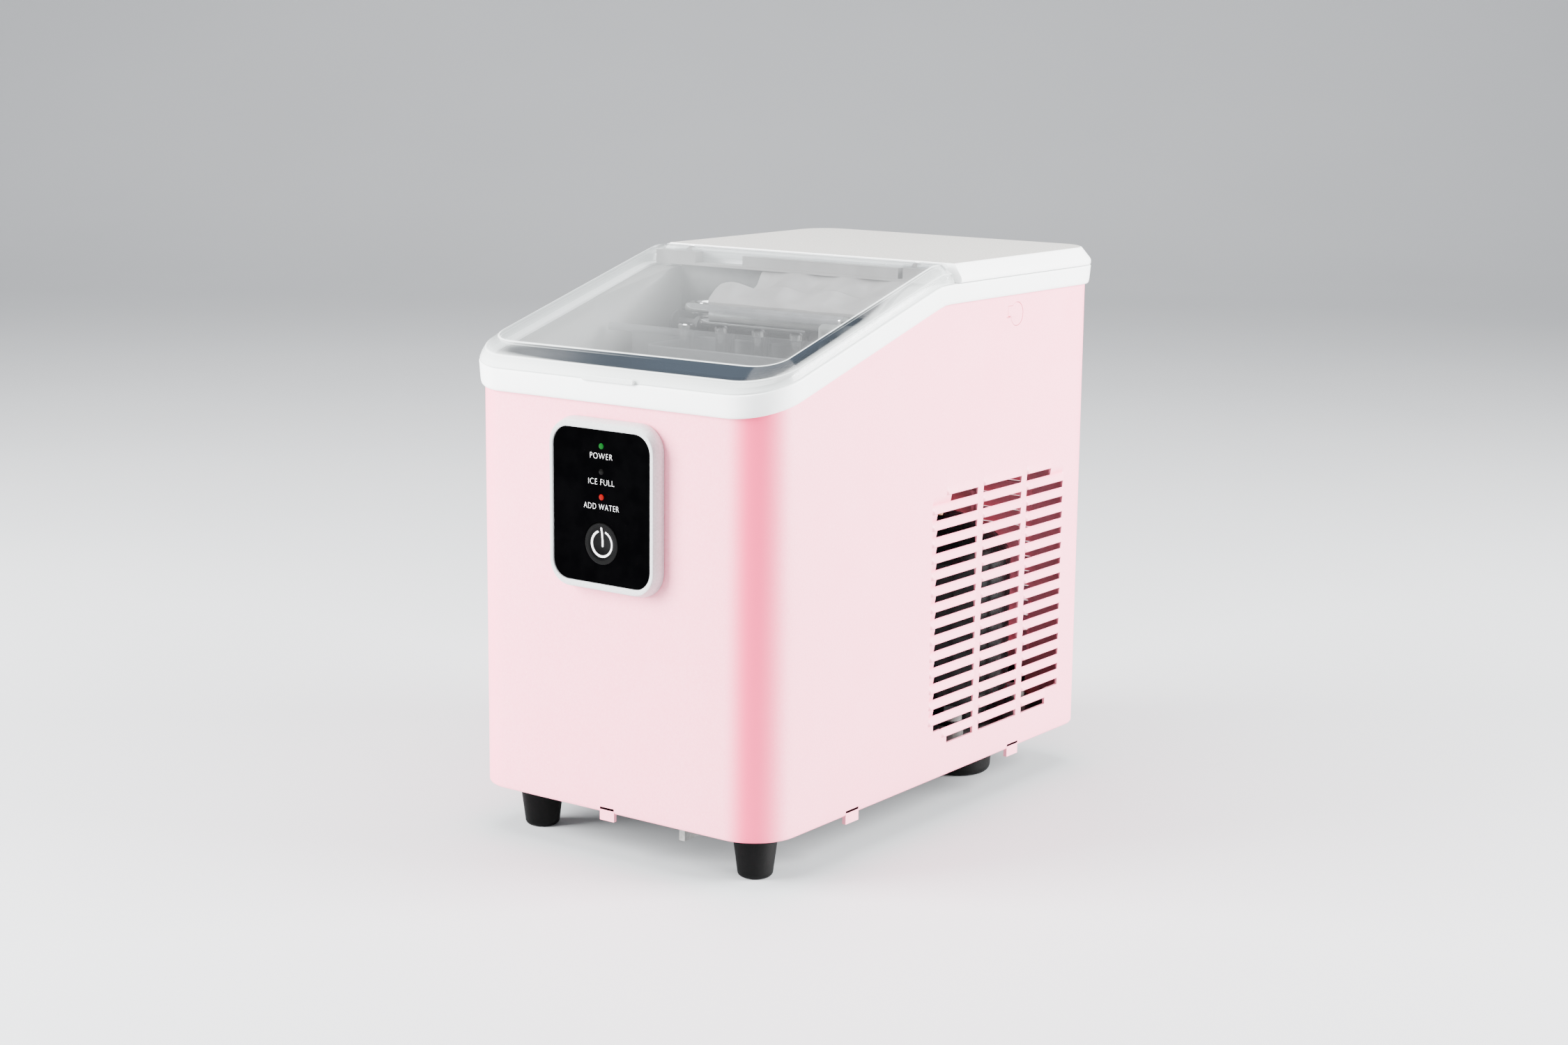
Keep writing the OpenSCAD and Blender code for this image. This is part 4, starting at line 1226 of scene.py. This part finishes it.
def foot_profile(low_r, high_r, rounding, high):
    """Hollow under the foot, round lower edge, sloping side and small round upper edge."""
    bend = np.radians(np.linspace(0, 90, 7))
    inner_r = low_r - rounding
    corner = [(inner_r + rounding * math.sin(b), rounding - rounding * math.cos(b)) for b in bend]
    hollow = [(0, 3.2), (3.6, 3.2), (4.2, 2.6), (4.4, 0.3), (4.8, 0)]
    upper = [(high_r, high - 1.4), (high_r - 0.4, high - 0.3), (high_r - 1.5, high), (0, high)]
    return hollow + corner + upper


FOOT = {"front": (10.4, 13.5, 3), "rear": (20.5, 22, 5)}
for end, sizes in FOOT.items():
    for hand in ("left", "right"):
        node = f"foot_{end}_{hand}"
        lo, hi = size(node)
        shape = foot_profile(*sizes, BASE_Z)
        grid = turned(0.5 * (lo[0] + hi[0]), 0.5 * (lo[1] + hi[1]), shape)
        make(node + "_turned", [sheet(grid, wrap_u=True)], rubber, "cabinet", [node])

# %% [markdown]
# ## Ice bin
# The bin is seen through the lid, so its corners are rounded as a moulding's are. A track is
# carried downwards, first sloping in from the rim and then straight. Behind the fingers the wall
# steps outwards, which gives the crisp upright edge beside them. Its faces point into the bin.

# %% Ice bin
BIN_X, BIN_FRONT, BIN_REAR, BIN_FLOOR = 88.0, -160.0, -14.0, 62.0
POCKET_REAR, POCKET_FLOOR = 54.0, 212.0
BIN_SLOPE = np.array(
    [(17.0, -1.6), (15.6, -2.6), (12.4, -8), (8.4, -16), (4.6, -26), (1.6, -38), (0.0, -50)]
)
BIN_CORNER = np.array(
    [(17.0, -1.6), (1.2, -1.7), (0.3, -2.2), (0.0, -4), (0.0, -12), (0.0, -26), (0.0, -50)]
)
BIN_LINES = (-130, -100, -80, -65, -50, -40, -30, -20, -12, -6, -1.5, -1.0, 3.4, 3.6)


def bin_liner():
    """Rings are placed by a mix of two profiles: a long slope in front and an upright wall with a
    ledge beside the fingers. The share of the slope is a smooth step of the place along Y."""
    path = track(-BIN_X, BIN_X, BIN_FRONT, POCKET_REAR, (14, 6), 14, BIN_LINES, (-40, 0, 40))
    base, way = path
    y = base[:, 1:2]
    t = np.clip((-y - 2) / 80, 0, 1)
    share = t * t * (3 - 2 * t)
    forward = np.clip(-way[:, 1:2], 0, 1)
    out, fall = (BIN_CORNER[:, k] + share * (BIN_SLOPE[:, k] - BIN_CORNER[:, k]) for k in (0, 1))
    out = out * (1 - 0.24 * forward) * (y < -1.2)
    heights = np.where(y < -1.2, parting(y), REAR_Z - 0.6) + fall
    step = 1.9 * (y > 3.5)
    low = np.array([240.0, POCKET_FLOOR])
    heights = np.concatenate([heights, np.broadcast_to(low, (len(y), 2))], 1)
    out = np.concatenate([out, np.zeros((len(y), 2))], 1) + step
    well = track(-BIN_X, BIN_X, BIN_FRONT, BIN_REAR, (14, 4), 14, (-100, -50), (-40, 0, 40))
    drop_out = np.array([0, 0, 0, -0.8, -3, -6])
    drop_z = [POCKET_FLOOR, 120, BIN_FLOOR + 6, BIN_FLOOR + 3, BIN_FLOOR + 0.8, BIN_FLOOR]
    well_grid = carry(well, drop_out, np.broadcast_to(drop_z, (len(well[0]), len(drop_z))))
    x, v = np.meshgrid((-BIN_X, 0, BIN_X), (BIN_REAR, 20, POCKET_REAR), indexing="ij")
    shelf = np.stack([x, v, np.full(x.shape, POCKET_FLOOR)], -1)
    walls = sheet(carry(path, out, heights), wrap_u=True)
    return [walls, sheet(well_grid, wrap_u=True), cap(well_grid[:, -1]), sheet(shelf)]


liner = make("ice_bin", bin_liner(), liner_grey, "cabinet", ["bin_liner"])
thicken(liner, 1.2)

# %% [markdown]
# ## Hood over the fingers
# A broad cover leans forward from the back wall to just above the fingers. It has shallow waves
# from side to side, and at the left it stops in a step. The hood is a grid whose left edge and
# profile are both curves. The upright wall behind it is a second piece, painted darker than the hood as its
# shade.

# %% Hood
HOOD = np.array(
    [(-2.0, 329.4), (-6.5, 328.6), (-11, 326.4), (-20, 322.2), (-25, 320.4), (-31, 317.6),
     (-37, 314.4), (-39.5, 313.2), (-40.3, 312.2), (-39.8, 311.4)]
)
HOOD_LEFT = np.array([-21, -20.5, -19.5, -16, -15, -38.5, -37, -36.5, -36.3, -36.3])
WAVE_LONG = 37


def hood():
    """Rows run from the wall down to the lip. Across, x goes from the left edge to the bin's side
    and the surface swells by a cosine of x, less towards the lip."""
    parts = []
    for rows in (slice(0, 5), slice(4, 10)):
        left = HOOD_LEFT[rows].copy()
        if rows.start:
            left[0] = -39.0
        share = np.linspace(0, 1, 60)
        x = left + share[:, None] * (BIN_X - 0.2 - left)
        y, z = HOOD[rows, 0], HOOD[rows, 1]
        swell = np.interp(z, [312, 318, 326, 329], [0, 2.2, 2.6, 0])
        wave = np.cos((x - 8) * 2 * np.pi / WAVE_LONG) * swell
        parts.append(sheet(np.stack([x, y - 0.5 * wave, z + 0.8 * wave], -1)))
    return parts


def back_wall():
    """Upright wall behind the hood, a flat grid facing forwards."""
    x, z = np.meshgrid(np.linspace(-BIN_X, BIN_X, 9), (329.6, 315, 300), indexing="ij")
    return [sheet(np.stack([x, np.full(x.shape, -0.6), z], -1))]


hood_piece = make("finger_hood", hood(), hood_grey, "cabinet", ["evaporator_cover"], 50)
thicken(hood_piece, 1.6, 0.3)
# painted shade: the wall takes a darker grey than the hood it belongs to
wall_piece = make("hood_wall", back_wall(), pale_plastic, "cabinet")
thicken(wall_piece, 1.4)

# %% [markdown]
# ## Evaporator
# Nickel-plated fingers hang from a tube that runs to and fro. Tubes are circles carried along a
# path; fingers are turned profiles with round tips and a small collar at the top.

# %% Evaporator
EVAP_Z = 304.6
ROWS_Y = (-44.0, -20.0)
FINGER_R, FINGER_TIP, FINGER_PITCH = 4.3, 254.0, 28.0
FINGERS_MID, FINGERS_END, PIPE_REAR = 4.5, 66.0, 66.0


def tube(path, radius, sides=20):
    """Circle of radius carried along a path (n, 3). Its own axes are the path's direction, a
    level direction across it and their product, so it doesn't twist."""
    path = np.asarray(path, float)
    along = np.gradient(path, axis=0)
    along /= np.linalg.norm(along, axis=1)[:, None]
    flat = np.abs(along[:, 2]) > 0.95
    level = np.cross(along, np.where(flat[:, None], np.array([1.0, 0, 0]), np.array([0, 0, 1.0])))
    level /= np.linalg.norm(level, axis=1)[:, None]
    third = np.cross(level, along)
    a = np.linspace(0, 2 * np.pi, sides, endpoint=False)
    ring = np.cos(a)[:, None, None] * level + np.sin(a)[:, None, None] * third
    grid = path + radius * ring
    return [sheet(grid, wrap_u=True), cap(grid[:, -1]), cap(grid[:, 0], True)]


def run_and_back(z, radius, right, end):
    """Tube that runs along one row, turns in a half circle at x = end and returns."""
    bend = np.radians(np.linspace(90, 270, 25))
    middle, half = 0.5 * sum(ROWS_Y), 0.5 * (ROWS_Y[1] - ROWS_Y[0])
    xs, ys = end + half * np.cos(bend), middle + half * np.sin(bend)
    run = [(x, ROWS_Y[1], z) for x in (right, 20, end + 1)]
    back = [(x, ROWS_Y[0], z) for x in (end + 1, 20, right)]
    return tube(np.concatenate([run, np.stack([xs, ys, np.full(25, z)], -1), back]), radius)


def bar_over(y):
    """Flat bar with a rounded edge that joins the fingers of a row. Its section is a squared
    ellipse: sine and cosine to the power 0.35."""
    a = np.linspace(0, 2 * np.pi, 24, endpoint=False)
    section = ((5.6, np.cos(a)), (4.4, np.sin(a)))
    across, up = (half * np.sign(w) * np.abs(w) ** 0.35 for half, w in section)
    grow = np.array([0.7, 1, 1, 0.7])
    x = np.broadcast_to(np.array([-31.0, -30.0, FINGERS_END - 1, FINGERS_END]), (24, 4))
    bar = np.stack([x, y + across[:, None] * grow, EVAP_Z + 0.6 + up[:, None] * grow], -1)
    return [sheet(bar, wrap_u=True), cap(bar[:, -1]), cap(bar[:, 0], True)]


def finger_profile():
    """Round tip, straight side and a collar, as radius and height."""
    tip = np.radians(np.linspace(-90, 0, 8))
    shape = [(FINGER_R * math.cos(t), FINGER_TIP + FINGER_R * (1 + math.sin(t))) for t in tip]
    collar = ((0, 292), (0.2, 294), (1.0, 294.6), (1.0, 297.5), (0, 298.2))
    return shape + [(FINGER_R + out, z) for out, z in collar]


def evaporator():
    """Upper and lower tube, then for each row its bar, its fingers and the pipe to the rear."""
    parts = run_and_back(EVAP_Z + 3.2, 3.3, FINGERS_END, -43)
    parts += run_and_back(EVAP_Z - 4.2, 3.2, 40, -32)
    for row, y in enumerate(ROWS_Y):
        parts += bar_over(y)
        count = 5 - row
        for k in range(count):
            x = FINGERS_MID + (k - (count - 1) / 2) * FINGER_PITCH
            parts.append(sheet(turned(x, y, finger_profile(), 28), wrap_u=True))
        x = FINGERS_END - 12 * row
        parts += tube([(x, y, EVAP_Z + 3.2), (x, 20, EVAP_Z), (x, PIPE_REAR, EVAP_Z)], 3.1)
    return parts


make("evaporator_fingers", evaporator(), nickel, "cabinet", ["evaporator"])

# %% [markdown]
# ## Water tray
# The tray is a trough with rounded corners and a rolled lip. One closed profile goes down the
# outside, across and up the inside. It rides on its own body, with its lugs and shafts.

# %% Water tray
TRAY_LO, TRAY_HI = (-68.5, -66.0, 244.0), (68.5, -8.0, 286.0)
PIVOT_Y, PIVOT_Z = -6.0, 292.0
TRAY_RINGS = np.array(
    [(-10, 244.0), (-5, 244.3), (-1.6, 246), (-0.6, 250), (0, 284.4), (0.0, 285.4), (-0.5, 286),
     (-1.5, 286), (-2, 285.4), (-2.2, 284), (-2.6, 251), (-3.8, 247.5), (-7, 246), (-11, 246)]
)
LUG_IN, LUG_OUT = 68.2, 71.5


def shaft(xs, radius, sides):
    """Round bar along the pivot line, through the places xs."""
    return tube([(x, PIVOT_Y, PIVOT_Z) for x in xs], radius, sides)


def water_tray():
    """Trough, and at each end a lug that carries a boss and a shaft on the pivot line."""
    (x0, y0, _), (x1, y1, _) = TRAY_LO, TRAY_HI
    path = track(x0, x1, y0, y1, (9, 9), 10, (-50, -25), (-30, 0, 30))
    heights = np.broadcast_to(TRAY_RINGS[:, 1], (len(path[0]), len(TRAY_RINGS)))
    grid = carry(path, TRAY_RINGS[:, 0], heights)
    parts = [sheet(grid, wrap_u=True), cap(grid[:, -1]), cap(grid[:, 0], True)]
    for s, shaft_end in ((-1, 92), (1, 100)):
        near, far = sorted((s * LUG_IN, s * LUG_OUT))
        parts.append(slab((near, -22, 272), (far, 0, PIVOT_Z)))
        parts += shaft((s * LUG_IN, s * LUG_OUT), 6, 28)
        parts += shaft((s * LUG_OUT, s * 80, s * shaft_end), 4, 24)
    return parts


make("tray_trough", water_tray(), pale_plastic, "tray", ["water_tray"])

# %% [markdown]
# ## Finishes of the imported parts
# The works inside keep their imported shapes. Each gets the finish that suits it.

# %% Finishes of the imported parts
PACKED = {
    steel: ("rear_panel_screws", "base_screws", "hinge_pins", "tray_motor", "compressor_bolts", "fan_motor"),
    grey_plastic: ("base_pan", "drain_spout"),
    pale_plastic: ("ice_chute", "ice_scoop", "tray_bushes"),
    # painted shade: the hinge rail is painted grey, as the shaded slot between the cover and the lid's
    # barrel
    hood_grey: ("hinge_rail",),
    soft_clear: ("ice_basket", "ice_shovel"),
    black_plastic: ("ice_sensors", "pump_body", "fan_shroud", "fan_wheel"),
    black_paint: ("compressor",),
    rubber: ("cord_bush",),
    grey_rubber: ("drain_plug", "compressor_feet"),
    board: ("control_board", "main_board"),
    foam: ("side_insulation",),
    amber: ("pump_impeller",),
    hose: ("pump_hose",),
    fins: ("condenser",),
    copper: ("filter_drier", "discharge_pipe", "suction_pipe"),
    brass: ("hot_gas_valve",),
}
for paint, names in PACKED.items():
    for name in names:
        NODES[name].data.materials.clear()
        NODES[name].data.materials.append(paint)
print(sum(map(len, PACKED.values())), "packed parts painted")

# %% [markdown]
# ## Floor and light
# A plain pale floor, a soft overall light and three large lamps. The two side lamps come from
# beyond the front and the right-hand faces, so the corner between them stays a little deeper.

# %% Floor and light
LEVEL = 0.7
LAMPS_AIM = Vector((0, 0, 0.18))


def floor():
    """A broad sheet that is level for most of its depth and then curves up behind the object, so
    no horizon shows. It is turned to face the camera."""
    across = np.linspace(-6, 6, 25)[:, None]
    t = np.linspace(0, 1, 40)
    bend = (t - LEVEL) / (1 - LEVEL) * np.pi / 2
    run = np.where(t < LEVEL, -4 + t / LEVEL * 7, 3 + 2.5 * np.sin(bend))
    up = np.where(t < LEVEL, 0, 3.5 * (1 - np.cos(bend)))
    turn = math.radians(35.9)
    x = across * math.cos(turn) - run * math.sin(turn)
    y = across * math.sin(turn) + run * math.cos(turn)
    co, faces = sheet(np.stack([x, y, np.broadcast_to(up, x.shape)], -1))
    mesh = bpy.data.meshes.new("floor")
    mesh.from_pydata(co, [], faces)
    mesh.polygons.foreach_set("use_smooth", np.ones(len(mesh.polygons), bool))
    paint = Finish("pale_floor", roughness=0.6)
    tone = paint.noise(0.4, detail=2.0)
    paint.set("Base Color", paint.mix(tone, (0.40, 0.41, 0.42), (0.43, 0.44, 0.45)))
    mesh.materials.append(paint.material)
    stand("floor", mesh)


def lamp(name, azimuth, elevation, distance, width, height, power, mirrored=True):
    """Rectangular lamp on a sphere round the object, facing its middle. Where mirrored is False
    it lights the object but isn't seen in its gloss."""
    way = away(azimuth, elevation)
    data = bpy.data.lights.new(name, "AREA")
    data.shape = "RECTANGLE"
    data.size, data.size_y = width, height
    data.energy = power
    turn = way.to_track_quat("Z", "Y").to_matrix().to_4x4()
    obj = stand(name, data)
    obj.matrix_world = Matrix.Translation(way * distance + LAMPS_AIM) @ turn
    obj.visible_glossy = mirrored


floor()
lamp("front_left", -40, 20, 1.9, 1.1, 1.4, 300, False)
lamp("right_rear", 118, 20, 1.9, 1.1, 1.4, 260)
lamp("top", 0, 88, 1.8, 1.6, 1.6, 90)
world = bpy.data.worlds.new("soft_room")
world.use_nodes = True
world.node_tree.nodes["Background"].inputs[0].default_value = (0.95, 0.96, 1.0, 1.0)
world.node_tree.nodes["Background"].inputs[1].default_value = 1.0
bpy.context.scene.world = world
